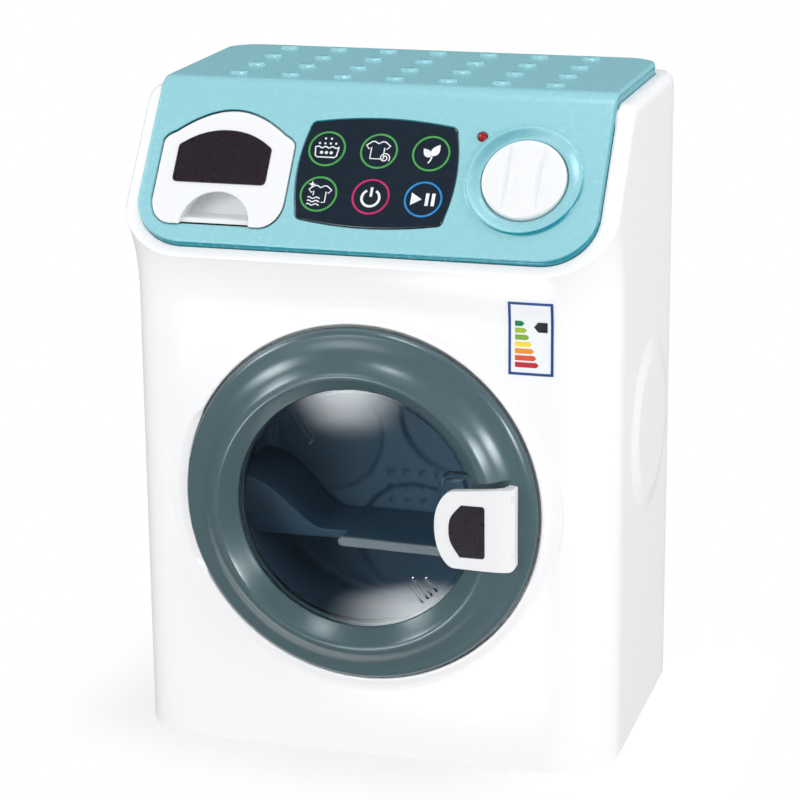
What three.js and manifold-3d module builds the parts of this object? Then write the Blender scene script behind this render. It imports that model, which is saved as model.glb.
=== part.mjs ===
// A toy front-loading washing machine with a slanted control panel, a detergent drawer, a selector
// knob, a round door with a pull handle, and a drum that a battery motor turns through gears.
// Millimetres. X runs to the right, Y from front to back, Z up, and the front faces -Y.
// The origin is the middle of the casing's flat underside.

import * as THREE from 'three';
import { mergeVertices } from 'three/addons/utils/BufferGeometryUtils.js';
import Module from 'manifold-3d';

const wasm = await Module();
wasm.setup();

// General clearances
const restGap = 0.3;
const runGap = 0.3;
const slideGap = 0.5;
const overlap = 0.6;

// Casing
const casingWidth = 180;
const casingDepth = 116;
const shoulderHeight = 238;
const casingWall = 2.4;
const frontCornerRadius = 24;
const rearCornerRadius = 10;
const shoulderRadius = 4;
const foldRadius = 9;
const coverDepth = 12;
const tongueLength = 3;
const tongueThickness = 1.5;
const sideDiscAboveDoor = 16;
const sideDiscBack = 12.5;
const sideDiscRadius = 33;
const sideDiscSlope = 9;
const sideDiscRise = 1.2;

// Control panel, placed from the casing's shoulder and sides
const panelTilt = THREE.MathUtils.degToRad(37.5);
const panelFootForward = 5.5;
const panelDrop = 48;
const panelRise = 4;
const panelSideMargin = 6;
const panelProud = 2.6;
const panelSeatDepth = 1.6;
const panelSkin = 2.2;
const panelCornerRadius = 19;
const panelRearInset = 3;
const panelRearRadius = 13;
const panelEdgeRadius = 1.4;
const ledgeWidth = 3.5;
const ledgeThickness = 2.4;
const lipReach = 4;
const lipCornerRadius = 24;
const lipNoseRadius = 2;
const coveHeight = 21;

// Raised grip bumps on the top
const bumpColumns = 7;
const bumpRows = 4;
const bumpPitchX = 19.7;
const bumpPitchY = 19.4;
const bumpFirstBehindFold = 12;
const bumpLength = 7;
const bumpWidth = 4.4;
const bumpRise = 0.9;

// Selector knob, its dished boss and the switch behind it
const knobFromSide = 28;
const knobUp = 30.8;
const knobRadius = 15;
const knobProud = 1.6;
const knobThickness = 2.8;
const knobEdge = 0.6;
const bossWidth = 5.6;
const bossRise = 1.2;
const bossDishDepth = 1.4;
const knobScoopOffset = 5.6;
const knobScoopHalfWidth = 2.4;
const knobScoopDepth = 1.9;
const switchShaftRadius = 2.5;
const switchRadius = 8;
const switchHeight = 5.7;
const wiperRadius = 5.4;
const wiperThickness = 1.2;
const knobStemRadius = 4.6;
const knobStemLength = 3.2;
const knobSeatDepth = 1.6;

// Indicator lamp, placed from the knob
const lampFromKnob = 17.4;
const lampAboveKnob = 16;
const lampRadius = 1.5;

// Detergent drawer
const drawerSideMargin = 6;
const drawerWidth = 49;
const drawerLow = 7.4;
const drawerShoulder = 41.5;
const drawerCrown = 10.7;
const drawerCornerRadius = 8;
const drawerFrontThickness = 2.4;
const drawerFrontProud = 0.4;
const scoopRadius = 13;
const scoopDepth = 9;
const scoopWall = 1.4;
const traySideMargin = 4;
const trayHeight = 21;
const trayLength = 56;
const trayWall = 1.5;
const dividerLength = 24;
const dividerOffset = 5;
const housingWall = 1.6;
const housingSetback = 24;

// Overlay with the touch symbols, between the drawer and the knob
const overlaySideMargin = 4.9;
const overlayKnobMargin = 5.9;
const overlayUp = 30.7;
const overlayHalfHeight = 19.1;
const overlayBulge = 2;
const overlayThickness = 0.9;
const overlayProud = 0.2;
const overlayCornerRadius = 3;
const touchPadRadius = 6.2;
const touchPadThickness = 0.6;
const touchPadSideMargin = 1.5;
const touchPadEndMargin = 4;

// Circuit board
const boardFromDrawer = 5;
const boardPastKnob = 16;
const boardLow = 8;
const boardHigh = 57;
const boardDepth = 11;
const boardThickness = 1.6;
const boardScrewInset = 4;
const boardPostRadius = 2.8;

// Door, all "forward" values measured from the casing's front face
const doorAboveMiddle = 2;
const doorRadius = 65.3;
const doorRimGap = 0.9;
const doorEdgeForward = 1.6;
const doorRecessDepth = 1.6;
const doorCollarWidth = 5.3;
const doorCollarRise = 2.3;
const doorSeatThickness = 4;
const windowRadius = 44.4;
const windowFlangeWidth = 4.2;
const windowSeatForward = 6.5;
const windowFlangeThickness = 1.8;
const windowCrown = 10.6;
const windowSkin = 1.8;
const backRingForward = 1.7;
const hingeInset = 4.3;
const hingeForward = 2.4;
const hingeBarrelRadius = 2.2;
const hingePinRadius = 1;
const hingeInnerHalf = 8;
const hingeOuterHalf = 13;
const hingeLegThickness = 2;
const hingeFootThickness = 1.2;
const hingeReliefHalf = 26;
const hingeReliefDepth = 1.6;

// Door handle, the finger recess behind it and the snap tongue
const handleOverWindow = 13;
const handleInset = 4.3;
const handleFace = 16.4;
const handleThickness = 2.8;
const handleLeftHalf = 14.2;
const handleRightHalf = 16.2;
const handlePocketFloor = 7.6;
const handleBossInset = 4.8;
const handleBossOffset = 10.5;
const handleBossRadius = 2.8;
const fingerCupWall = 1.4;
const fingerCupHalf = 15.2;
const fingerCupForward = 1.4;
const snapHalfHeight = 5;
const snapReach = 3.4;

// Tub, drum and paddle
const tubInnerRadius = 57.5;
const tubWall = 2;
const tubDepth = 54.4;
const tubFlangeWidth = 4.5;
const tubMouthLip = 3.5;
const tubPostRadius = 3.6;
const tubEarThickness = 2;
const drumGap = 3.1;
const drumWall = 1.8;
const drumMouth = 9;
const drumFloor = 47;
const drumFloorThickness = 3.6;
const drumFloorRound = 3;
const dishRadius = 22.5;
const dishDepth = 1.8;
const dishSlope = 2.4;
const dishFirstAngle = THREE.MathUtils.degToRad(41);
const paddleDrop = 18.5;
const paddleThickness = 3.6;

// Gear train behind the tub
const gearModule = 1;
const drumGearTeeth = 48;
const smallTeeth = 12;
const largeTeeth = 36;
const pinionTeeth = 10;
const gearThickness = 3.2;
const gearLayerPitch = 5;
const gearPinRadius = 1.5;
const gearPinSeat = 1.4;
const axleRadius = 2.5;
const bushRadius = 5.4;
const bushCollar = 1.6;
const idlerAngle = THREE.MathUtils.degToRad(150);
const reductionAngle = THREE.MathUtils.degToRad(60);
const motorAngle = THREE.MathUtils.degToRad(0);
const gearPlateThickness = 2.2;
const gearPlateMargin = 6;
const gearPlateCorner = 5;
const gearEndGap = 2;
const gearPostRadius = 3;
const idlerPostClear = 2.6;
const reductionPostClear = 8.3;
const motorPostClear = 12.8;
const drumPostClear = 6.9;
const gearHubWall = 3.5;
const gearWebMargin = 3.8;
const motorLength = 25;
const motorWidth = 20;
const motorFlat = 15;
const motorShaftRadius = 1;
const bracketWall = 1.6;
const bracketBand = 10;

// Batteries, loudspeaker and the back
const batteryRadius = 7.1;
const batteryLength = 49;
const batteryCount = 3;
const batterySpacing = 1.2;
const batteryCapRadius = 2.6;
const batteryBayEndRoom = 5.5;
const batteryBayLow = 12;
const batteryBayBackRoom = 5.8;
const batteryBayWall = 1.6;
const batteryDoorMargin = 3;
const batteryDoorThickness = 2;
const batteryTabHeight = 9;
const batteryTabHalf = 6;
const batteryRibs = 4;
const batteryRibPitch = 3;
const contactThickness = 0.8;
const contactHalf = 5;
const contactStudRadius = 2.2;
const speakerAcross = -44;
const speakerDrop = 62;
const speakerRadius = 18;
const speakerRim = 2;
const speakerDepth = 11;
const speakerBasketDepth = 6;
const speakerMagnetRadius = 9;
const speakerConeRadius = 6;
const speakerConeDepth = 3.4;
const speakerCapRise = 1.6;
const grilleSlots = 7;
const grillePitch = 4.6;
const grilleSlotWidth = 2;
const screwHeadRadius = 2.8;
const screwHeadThickness = 1.1;
const screwShankRadius = 1.3;
const screwLength = 13;
const screwPostRadius = 4.2;
const postLength = 34;
const postWebThickness = 2.4;
const postSideMargin = 14;
const postLow = 16;
const postAboveDoor = 21;
const postDrop = 24;

// Stickers
const energyLabelFromSide = 28.2;
const energyLabelBelowPanel = 28.2;
const energyLabelWidth = 16;
const energyLabelTall = 26.3;
const drawerLabelWidth = 35;
const drawerLabelTall = 21;
const stickerThickness = 0.35;

// Values worked out from the sizes above
const front = -casingDepth / 2;
const back = casingDepth / 2;
const halfWidth = casingWidth / 2;
const coverSeam = back - coverDepth;
const panelHalf = halfWidth - panelSideMargin;
const panelFootHeight = shoulderHeight - panelDrop;
const panelTopHeight = shoulderHeight + panelRise;
const panelRear = back - panelRearInset;
const panelBandDepth = panelSeatDepth + ledgeThickness;
const footY = front - panelFootForward;
const foldY = footY + (panelTopHeight - panelFootHeight) * Math.tan(panelTilt);
const doorHeight = panelFootHeight / 2 + doorAboveMiddle;
const doorRecessRadius = doorRadius + doorRimGap;
const doorOpeningRadius = tubInnerRadius - tubMouthLip;
const windowFlangeRadius = windowRadius + windowFlangeWidth;
const hingeLeft = doorRadius - hingeInset;
const handleLeft = windowRadius - handleOverWindow;
const handleRight = doorRadius - handleInset;
const handleBossAcross = handleRight - handleBossInset;
const drawerAcross = drawerSideMargin + drawerWidth / 2 - panelHalf;
const drawerApex = drawerShoulder + drawerCrown;
const trayWidth = drawerWidth - 2 * traySideMargin;
const knobAcross = panelHalf - knobFromSide;
const bossRadius = knobRadius + bossWidth;
const lampAcross = knobAcross - lampFromKnob;
const lampUp = knobUp + lampAboveKnob;
const overlayLeft = drawerAcross + drawerWidth / 2 + overlaySideMargin;
const overlayRight = knobAcross - bossRadius - overlayKnobMargin;
const overlayAcross = (overlayLeft + overlayRight) / 2;
const overlayHalfWidth = (overlayRight - overlayLeft) / 2;
const touchPadPitchX = overlayHalfWidth - touchPadSideMargin - touchPadRadius;
const touchPadPitchUp = 2 * (overlayHalfHeight - touchPadEndMargin - touchPadRadius);
const boardLeft = drawerAcross + drawerWidth / 2 + boardFromDrawer;
const boardRight = knobAcross + boardPastKnob;
const drumOuterRadius = tubInnerRadius - drumGap;
const drumInnerRadius = drumOuterRadius - drumWall;
const tubFlangeRadius = tubInnerRadius + tubFlangeWidth;
const batteryPitch = 2 * batteryRadius + batterySpacing;
const batteryBayTall = batteryPitch * batteryCount + 2;
const batteryBayWidth = batteryLength + 2 * batteryBayEndRoom;
const batteryBayDepth = 2 * batteryRadius + batteryBayBackRoom;
const speakerHeight = shoulderHeight - speakerDrop;
const postAcross = halfWidth - postSideMargin;
const postHeights = [postLow, doorHeight + postAboveDoor, shoulderHeight - postDrop];
const energyLabelAcross = halfWidth - energyLabelFromSide;
const energyLabelHeight = panelFootHeight - energyLabelBelowPanel;

// Facets round turned shapes
const ringSegments = 24;
const discSegments = 16;
const knobSegments = 24;
const postSegments = 6;
const holeSegments = 5;
const cornerSteps = 4;

// Colours of the materials
const finishes = {
  white: { color: 0xf4f4f5, roughness: 0.35, metalness: 0 },
  aqua: { color: 0x93d2db, roughness: 0.3, metalness: 0 },
  slate: { color: 0x5d7577, roughness: 0.3, metalness: 0 },
  darkSlate: { color: 0x33474f, roughness: 0.4, metalness: 0 },
  clear: { color: 0xdfeaf0, roughness: 0.05, metalness: 0 },
  black: { color: 0x161c26, roughness: 0.12, metalness: 0 },
  plum: { color: 0x2e2530, roughness: 0.3, metalness: 0 },
  red: { color: 0xc81420, roughness: 0.1, metalness: 0 },
  paper: { color: 0xf2f4f7, roughness: 0.4, metalness: 0 },
  board: { color: 0x2f7a4a, roughness: 0.5, metalness: 0 },
  steel: { color: 0xb4b8bc, roughness: 0.3, metalness: 1 },
  brass: { color: 0xc9a24a, roughness: 0.3, metalness: 1 },
  acetal: { color: 0xe9e6dc, roughness: 0.45, metalness: 0 },
  grey: { color: 0x8b9094, roughness: 0.5, metalness: 0 },
  cell: { color: 0x3f4a52, roughness: 0.35, metalness: 0.3 },
};

const model = new THREE.Group();

function addPiece(name, shape, finish, parent = model) {
  const geometry = shape instanceof THREE.BufferGeometry ? shape : geometryOf(shape);
  const mesh = new THREE.Mesh(geometry, new THREE.MeshStandardMaterial(finishes[finish]));
  mesh.name = name;
  parent.add(mesh);
  return mesh;
}

// Solids and geometries

function solidOf(geometry) {
  const bare = geometry.clone();
  bare.deleteAttribute('normal');
  bare.deleteAttribute('uv');
  const merged = mergeVertices(bare, 1e-4);
  const vertProperties = new Float32Array(merged.attributes.position.array);
  const triVerts = new Uint32Array(merged.index.array);
  return new wasm.Manifold(new wasm.Mesh({ numProp: 3, vertProperties, triVerts }));
}

function geometryOf(solid) {
  const mesh = solid.getMesh();
  const geometry = new THREE.BufferGeometry();
  geometry.setAttribute('position', new THREE.BufferAttribute(new Float32Array(mesh.vertProperties), 3));
  geometry.setIndex(new THREE.BufferAttribute(new Uint32Array(mesh.triVerts), 1));
  geometry.computeVertexNormals();
  return geometry;
}

function union(solids) {
  return solids.reduce((sum, solid) => sum.add(solid));
}

function subtractAll(solid, cutters) {
  return cutters.reduce((rest, cutter) => rest.subtract(cutter), solid);
}

function box(x0, x1, y0, y1, z0, z1) {
  const geometry = new THREE.BoxGeometry(x1 - x0, y1 - y0, z1 - z0);
  geometry.translate((x0 + x1) / 2, (y0 + y1) / 2, (z0 + z1) / 2);
  return solidOf(geometry);
}

function rodAlongY(radius, y0, y1, x, z, segments = 12) {
  const geometry = new THREE.CylinderGeometry(radius, radius, y1 - y0, segments);
  geometry.translate(x, (y0 + y1) / 2, z);
  return solidOf(geometry);
}

function rodAlongZ(radius, z0, z1, x, y, segments = 12) {
  const geometry = new THREE.CylinderGeometry(radius, radius, z1 - z0, segments);
  geometry.rotateX(Math.PI / 2);
  geometry.translate(x, y, (z0 + z1) / 2);
  return solidOf(geometry);
}

function rodAlongX(radius, x0, x1, y, z, segments = 12) {
  const geometry = new THREE.CylinderGeometry(radius, radius, x1 - x0, segments);
  geometry.rotateZ(Math.PI / 2);
  geometry.translate((x0 + x1) / 2, y, z);
  return solidOf(geometry);
}

// A profile of [radius, y] points turned about a line along Y through (x, z).
function turnedAboutY(profile, x, z, segments) {
  const points = profile.map(([radius, y]) => new THREE.Vector2(radius, y));
  const closed = points[0].x === 0 && points[points.length - 1].x === 0;
  if (!closed) {
    points.push(points[0].clone());
  }
  const geometry = new THREE.LatheGeometry(points, segments);
  geometry.translate(x, 0, z);
  return outward(geometry);
}

// A closed mesh with its faces turned outwards, whichever way its profile was drawn.
function outward(geometry) {
  const volume = signedVolume(geometry);
  if (volume > 0) {
    return solidOf(geometry);
  }
  const flipped = geometry.clone();
  const index = flipped.index.array;
  for (let i = 0; i < index.length; i += 3) {
    const keep = index[i];
    index[i] = index[i + 1];
    index[i + 1] = keep;
  }
  return solidOf(flipped);
}

function signedVolume(geometry) {
  const position = geometry.attributes.position;
  const index = geometry.index.array;
  const corners = [new THREE.Vector3(), new THREE.Vector3(), new THREE.Vector3()];
  let volume = 0;
  for (let i = 0; i < index.length; i += 3) {
    corners.forEach((corner, k) => corner.fromBufferAttribute(position, index[i + k]));
    volume += corners[0].dot(corners[1].clone().cross(corners[2])) / 6;
  }
  return volume;
}

// A shape drawn in x and z, extruded from y0 back to y1.
function plateAlongY(shape, y0, y1, curveSegments = 8) {
  const geometry = new THREE.ExtrudeGeometry(shape, { depth: y1 - y0, bevelEnabled: false, curveSegments });
  geometry.rotateX(Math.PI / 2);
  geometry.translate(0, y1, 0);
  return solidOf(geometry);
}

// A shape drawn in x and y, extruded from z0 up to z1.
function plateAlongZ(shape, z0, z1, curveSegments = 8) {
  const geometry = new THREE.ExtrudeGeometry(shape, { depth: z1 - z0, bevelEnabled: false, curveSegments });
  geometry.translate(0, 0, z0);
  return solidOf(geometry);
}

function roundedRectangle(x0, x1, y0, y1, radius) {
  const shape = new THREE.Shape();
  shape.moveTo(x0 + radius, y0);
  shape.lineTo(x1 - radius, y0);
  shape.absarc(x1 - radius, y0 + radius, radius, -Math.PI / 2, 0);
  shape.lineTo(x1, y1 - radius);
  shape.absarc(x1 - radius, y1 - radius, radius, 0, Math.PI / 2);
  shape.lineTo(x0 + radius, y1);
  shape.absarc(x0 + radius, y1 - radius, radius, Math.PI / 2, Math.PI);
  shape.lineTo(x0, y0 + radius);
  shape.absarc(x0 + radius, y0 + radius, radius, Math.PI, 1.5 * Math.PI);
  return shape;
}

// The slanted panel's own frame: x across, y up the slope from the panel's foot, z out of its face.
const panelFrame = new THREE.Matrix4().makeBasis(
  new THREE.Vector3(1, 0, 0),
  new THREE.Vector3(0, Math.sin(panelTilt), Math.cos(panelTilt)),
  new THREE.Vector3(0, -Math.cos(panelTilt), Math.sin(panelTilt)),
).setPosition(0, footY, panelFootHeight);

function onPanel(solid) {
  return solid.transform(panelFrame.toArray());
}

function panelRod(radius, low, high, across, up, segments = 12) {
  const geometry = new THREE.CylinderGeometry(radius, radius, high - low, segments);
  geometry.rotateX(Math.PI / 2);
  geometry.translate(across, up, (low + high) / 2);
  return solidOf(geometry);
}

// A profile of [radius, height] points turned about the panel's normal at (across, up).
function turnedOnPanel(profile, across, up, segments) {
  const points = profile.map(([radius, height]) => new THREE.Vector2(radius, height));
  const geometry = new THREE.LatheGeometry(points, segments);
  geometry.rotateX(Math.PI / 2);
  geometry.translate(across, up, 0);
  return outward(geometry);
}

// Lofts through upright slices

// How far a rounded edge has fallen back at a given distance in from the side.
function cornerDrop(distance, radius) {
  if (distance >= radius) {
    return 0;
  }
  const run = radius - Math.max(distance, 0);
  return radius - Math.sqrt(Math.max(radius * radius - run * run, 0));
}

// Replaces each corner of a (y, z) outline by an arc of its radius; a radius of 0 keeps the corner.
function roundedOutline(corners) {
  const outline = [];
  corners.forEach(({ at, radius, steps }, i) => {
    if (!radius) {
      outline.push(at);
      return;
    }
    const before = corners[(i + corners.length - 1) % corners.length].at;
    const after = corners[(i + 1) % corners.length].at;
    const toBefore = before.clone().sub(at);
    const toAfter = after.clone().sub(at);
    const halfAngle = Math.acos(toBefore.dot(toAfter) / (toBefore.length() * toAfter.length())) / 2;
    const room = 0.45 * Math.min(toBefore.length(), toAfter.length()) * Math.tan(halfAngle);
    const r = Math.min(radius, room);
    toBefore.normalize();
    toAfter.normalize();
    const bisector = toBefore.clone().add(toAfter).normalize();
    const centre = at.clone().addScaledVector(bisector, r / Math.sin(halfAngle));
    const first = at.clone().addScaledVector(toBefore, r / Math.tan(halfAngle)).sub(centre);
    const last = at.clone().addScaledVector(toAfter, r / Math.tan(halfAngle)).sub(centre);
    const turn = Math.atan2(first.cross(last), first.dot(last));
    for (let k = 0; k <= steps; k += 1) {
      outline.push(first.clone().rotateAround(new THREE.Vector2(), (turn * k) / steps).add(centre));
    }
  });
  return outline;
}

// A closed mesh through (y, z) outlines at rising x stations, all with as many points.
function loftAlongX(stations, outlineAt) {
  const outlines = stations.map(outlineAt);
  const count = outlines[0].length;
  const positions = outlines.flatMap((outline, i) => outline.flatMap((p) => [stations[i], p.x, p.y]));
  const index = [];
  for (let i = 0; i + 1 < stations.length; i += 1) {
    for (let j = 0; j < count; j += 1) {
      const a = i * count + j;
      const b = i * count + ((j + 1) % count);
      index.push(a, b, a + count, b, b + count, a + count);
    }
  }
  const lastStart = (stations.length - 1) * count;
  THREE.ShapeUtils.triangulateShape(outlines[0], []).forEach(([a, b, c]) => index.push(c, b, a));
  THREE.ShapeUtils.triangulateShape(outlines[stations.length - 1], []).forEach(([a, b, c]) => {
    index.push(lastStart + a, lastStart + b, lastStart + c);
  });
  const geometry = new THREE.BufferGeometry();
  geometry.setAttribute('position', new THREE.Float32BufferAttribute(positions, 3));
  geometry.setIndex(index);
  return outward(geometry);
}

// Stations from side to side that crowd together round the corners.
function stationsAcross(half, cornerRadius, extra = []) {
  const right = [];
  for (let k = 0; k <= cornerSteps; k += 1) {
    right.push(half - cornerRadius + cornerRadius * Math.sin((k * Math.PI) / (2 * cornerSteps)));
  }
  const all = [...right, ...extra].sort((a, b) => a - b);
  return [...all.map((x) => -x).reverse(), ...all];
}

// A (y, z) point at a distance up the slope and a height out of the panel's face.
function slopePoint(up, out) {
  return new THREE.Vector2(
    footY + up * Math.sin(panelTilt) - out * Math.cos(panelTilt),
    panelFootHeight + up * Math.cos(panelTilt) + out * Math.sin(panelTilt),
  );
}

// How far up the slope a plane below the panel's face meets a level z.
function slopeUpAt(level, out) {
  return (level - panelFootHeight - out * Math.sin(panelTilt)) / Math.cos(panelTilt);
}

// The casing's slice at x. The inset is the wall taken off the walls and the underside, and the
// band is the thickness taken off below the rim and the shoulder.
function casingOutline(x, inset, band, rear) {
  const fromSide = halfWidth - inset - Math.abs(x);
  const yFront = front + inset + cornerDrop(fromSide, frontCornerRadius - inset);
  const yRear = rear - cornerDrop(fromSide, rearCornerRadius - inset);
  const edge = cornerDrop(fromSide, Math.max(shoulderRadius - inset, 1));
  const top = shoulderHeight - band - edge;
  const rimOut = -panelProud - band - edge;
  const noseUp = inset - lipReach + cornerDrop(fromSide, lipCornerRadius - inset);
  const nose = slopePoint(noseUp, rimOut);
  const fold = slopePoint(slopeUpAt(top, rimOut), rimOut);
  const coveLow = panelFootHeight - coveHeight - lipReach;
  const wallTop = new THREE.Vector2(yFront, coveLow);
  const cove = new THREE.CubicBezierCurve(
    nose,
    new THREE.Vector2(nose.x + 0.45 * (yFront - nose.x), nose.y - 0.2 * (nose.y - coveLow)),
    new THREE.Vector2(yFront, nose.y - 0.5 * (nose.y - coveLow)),
    wallTop,
  ).getPoints(3);
  return roundedOutline([
    { at: new THREE.Vector2(yRear, inset) },
    { at: new THREE.Vector2(yRear, top), radius: shoulderRadius, steps: 1 },
    { at: fold, radius: foldRadius, steps: 2 },
    { at: nose, radius: lipNoseRadius, steps: 2 },
    ...cove.slice(1).map((at) => ({ at })),
    { at: new THREE.Vector2(yFront, inset) },
  ]);
}

function casingSolid(inset, band, rear) {
  const stations = stationsAcross(halfWidth - inset, frontCornerRadius - inset);
  return loftAlongX(stations, (x) => casingOutline(x, inset, band, rear));
}

// The panel's slice at x: a bent plate from the foot of the slope, over the fold, to the rear edge.
function panelOutline(x, inset, skin, seat) {
  const fromSide = panelHalf - inset - Math.abs(x);
  const edge = cornerDrop(fromSide, Math.max(panelEdgeRadius - inset, 0.01)) + skin;
  const footUp = inset + cornerDrop(fromSide, panelCornerRadius - inset);
  const rear = panelRear - inset - cornerDrop(fromSide, panelRearRadius - inset);
  const underOut = -panelProud - seat;
  const underTop = shoulderHeight - seat;
  const top = panelTopHeight - edge;
  return roundedOutline([
    { at: new THREE.Vector2(rear, underTop) },
    { at: new THREE.Vector2(rear, top), radius: panelEdgeRadius, steps: 1 },
    { at: slopePoint(slopeUpAt(top, -edge), -edge), radius: foldRadius, steps: 3 },
    { at: slopePoint(footUp, -edge), radius: panelEdgeRadius, steps: 1 },
    { at: slopePoint(footUp, underOut) },
    { at: slopePoint(slopeUpAt(underTop, underOut), underOut) },
  ]);
}

function panelSolid(inset, skin, seat) {
  const edgeStation = panelHalf - 0.75 * panelEdgeRadius;
  const extra = inset === 0 ? [edgeStation] : [];
  const stations = stationsAcross(panelHalf - inset, panelCornerRadius - inset, extra);
  return loftAlongX(stations, (x) => panelOutline(x, inset, skin, seat));
}

// The room that the panel takes in the casing: its seat, and the opening inside its ledge.
function panelRoom(inset, depth) {
  const slope = roundedRectangle(
    inset - panelHalf,
    panelHalf - inset,
    inset,
    panelFootHeight,
    panelCornerRadius - inset,
  );
  const slopePrism = panelPlate(slope, -panelProud - depth, 20, 3);
  const top = roundedRectangle(
    inset - panelHalf,
    panelHalf - inset,
    foldY,
    panelRear - inset,
    panelRearRadius - inset,
  );
  const slopeRoom = onPanel(slopePrism).intersect(
    box(-halfWidth, halfWidth, 2 * front, foldY + 3, 0, 2 * panelTopHeight),
  );
  const lowTop = shoulderHeight - depth;
  const highTop = panelTopHeight + 10;
  const side = panelHalf - inset;
  const topRoom = plateAlongZ(top, lowTop, highTop, 3)
    .add(box(-side, side, foldY - 2, foldY + panelRearRadius, lowTop, highTop));
  return slopeRoom.add(topRoom);
}

// The casing: a front shell and a rear cover

function casingHull() {
  const outer = casingSolid(0, 0, back);
  const inner = casingSolid(casingWall, panelBandDepth, back - casingWall);
  return subtractAll(outer, [
    inner,
    panelRoom(-restGap, panelSeatDepth),
    panelRoom(ledgeWidth, panelBandDepth + 6),
  ]);
}

function sideDisc(side) {
  const face = halfWidth;
  const flatRadius = sideDiscRadius - sideDiscSlope;
  const geometry = new THREE.LatheGeometry([
    new THREE.Vector2(0, face - casingWall / 2),
    new THREE.Vector2(sideDiscRadius, face - casingWall / 2),
    new THREE.Vector2(sideDiscRadius, face),
    new THREE.Vector2(sideDiscRadius - sideDiscSlope / 2, face + 0.6 * sideDiscRise),
    new THREE.Vector2(flatRadius, face + sideDiscRise),
    new THREE.Vector2(0, face + sideDiscRise),
  ], discSegments);
  geometry.rotateZ(side > 0 ? -Math.PI / 2 : Math.PI / 2);
  geometry.translate(0, sideDiscBack, doorHeight + sideDiscAboveDoor);
  return outward(geometry);
}

function doorSurround() {
  const crest = front - doorCollarRise;
  const collar = [
    [doorRecessRadius, front + casingWall / 2],
    [doorRecessRadius, crest + 0.4],
    [doorRecessRadius + 0.4, crest],
    [doorRecessRadius + 1, crest],
    [doorRecessRadius + 0.45 * doorCollarWidth, front - 0.3 * doorCollarRise],
    [doorRecessRadius + doorCollarWidth, front + casingWall / 2],
  ];
  const seatRadius = doorRecessRadius + casingWall;
  const seat = [
    [doorOpeningRadius, front + overlap],
    [doorOpeningRadius, front + doorSeatThickness],
    [seatRadius, front + doorSeatThickness],
    [seatRadius, front + overlap],
  ];
  return [collar, seat].map((profile) => turnedAboutY(profile, 0, doorHeight, ringSegments));
}

// A barrel on an L-shaped leg that leaves the room behind the pin free for the door's rim. Its foot
// lies in the recess floor.
function hingeLug(side) {
  const near = hingeInnerHalf + runGap;
  const low = doorHeight + (side > 0 ? near : -hingeOuterHalf);
  const high = doorHeight + (side > 0 ? hingeOuterHalf : -near);
  const axisY = front - hingeForward;
  const legStart = hingeBarrelRadius - hingeLeft;
  const legEnd = legStart + hingeLegThickness;
  const seatBack = front + doorSeatThickness;
  const barrel = rodAlongZ(hingeBarrelRadius, low, high, -hingeLeft, axisY);
  const bridge = box(-hingeLeft, legEnd, axisY - 1.2, axisY + 1.2, low, high);
  const leg = box(legStart, legEnd, axisY - 1.2, seatBack, low, high);
  const foot = box(-doorRadius, legEnd, seatBack - hingeFootThickness, seatBack, low, high);
  return union([barrel, bridge, leg, foot]);
}

function hingeBore() {
  const reach = hingeOuterHalf + 1;
  return rodAlongZ(
    hingePinRadius + runGap,
    doorHeight - reach,
    doorHeight + reach,
    -hingeLeft,
    front - hingeForward,
  );
}

// The door's rim swings round the hinge through a pocket in the recess and a dip in the collar.
function hingeSwing() {
  const rimReach = Math.hypot(hingeInset, hingeForward - doorEdgeForward) + slideGap;
  const pocket = rodAlongZ(
    rimReach,
    doorHeight - hingeReliefHalf,
    doorHeight + hingeReliefHalf,
    -hingeLeft,
    front - hingeForward,
    16,
  ).intersect(rodAlongY(doorRecessRadius, front - 1, front + doorSeatThickness, 0, doorHeight, ringSegments));
  const collarRelief = box(
    -doorRecessRadius - doorCollarWidth,
    -hingeLeft + hingeInset,
    front - 2 * doorCollarRise,
    front - doorCollarRise + hingeReliefDepth,
    doorHeight - hingeReliefHalf,
    doorHeight + hingeReliefHalf,
  );
  return pocket.add(collarRelief);
}

const coverScrewPlaces = postHeights.flatMap((height) => [-1, 1].map((side) => [side * postAcross, height]));

function coverPost(side, height) {
  const across = side * postAcross;
  const wallSide = side * (halfWidth - overlap);
  const start = back - postLength;
  const post = rodAlongY(screwPostRadius, start, back - casingWall - restGap, across, height, postSegments);
  const web = box(
    Math.min(across, wallSide),
    Math.max(across, wallSide),
    start,
    coverSeam - tongueLength - 1,
    height - postWebThickness / 2,
    height + postWebThickness / 2,
  );
  const holeStart = back - screwLength - 2;
  const hole = rodAlongY(screwShankRadius + restGap, holeStart, back, across, height, holeSegments);
  return post.add(web).subtract(hole);
}

function frontShell() {
  const hull = casingHull();
  const seam = coverSeam - restGap / 2;
  const frontPart = box(-casingWidth, casingWidth, -casingDepth, seam, -1, 2 * panelTopHeight);
  const opened = subtractAll(union([hull.intersect(frontPart), ...doorSurround()]), [
    rodAlongY(doorRecessRadius, front - 10, front + doorRecessDepth, 0, doorHeight, ringSegments),
    rodAlongY(doorOpeningRadius, front - 10, front + 10, 0, doorHeight, ringSegments),
    hingeSwing(),
  ]);
  const posts = postHeights.flatMap((height) => [coverPost(-1, height), coverPost(1, height)]);
  return union([opened, sideDisc(-1), sideDisc(1), hingeLug(-1), hingeLug(1), ...posts, ...tubPosts()])
    .subtract(hingeBore());
}

// Four short posts round the door opening hold the tub's ears.
const tubPostLength = doorSeatThickness + 4;
const tubPostCircle = tubFlangeRadius + tubPostRadius - 1;
const tubPostAngles = [45, 135, 225, 315].map(THREE.MathUtils.degToRad);
const tubPostPlaces = tubPostAngles.map((angle) => [
  tubPostCircle * Math.cos(angle),
  doorHeight + tubPostCircle * Math.sin(angle),
]);

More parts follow.
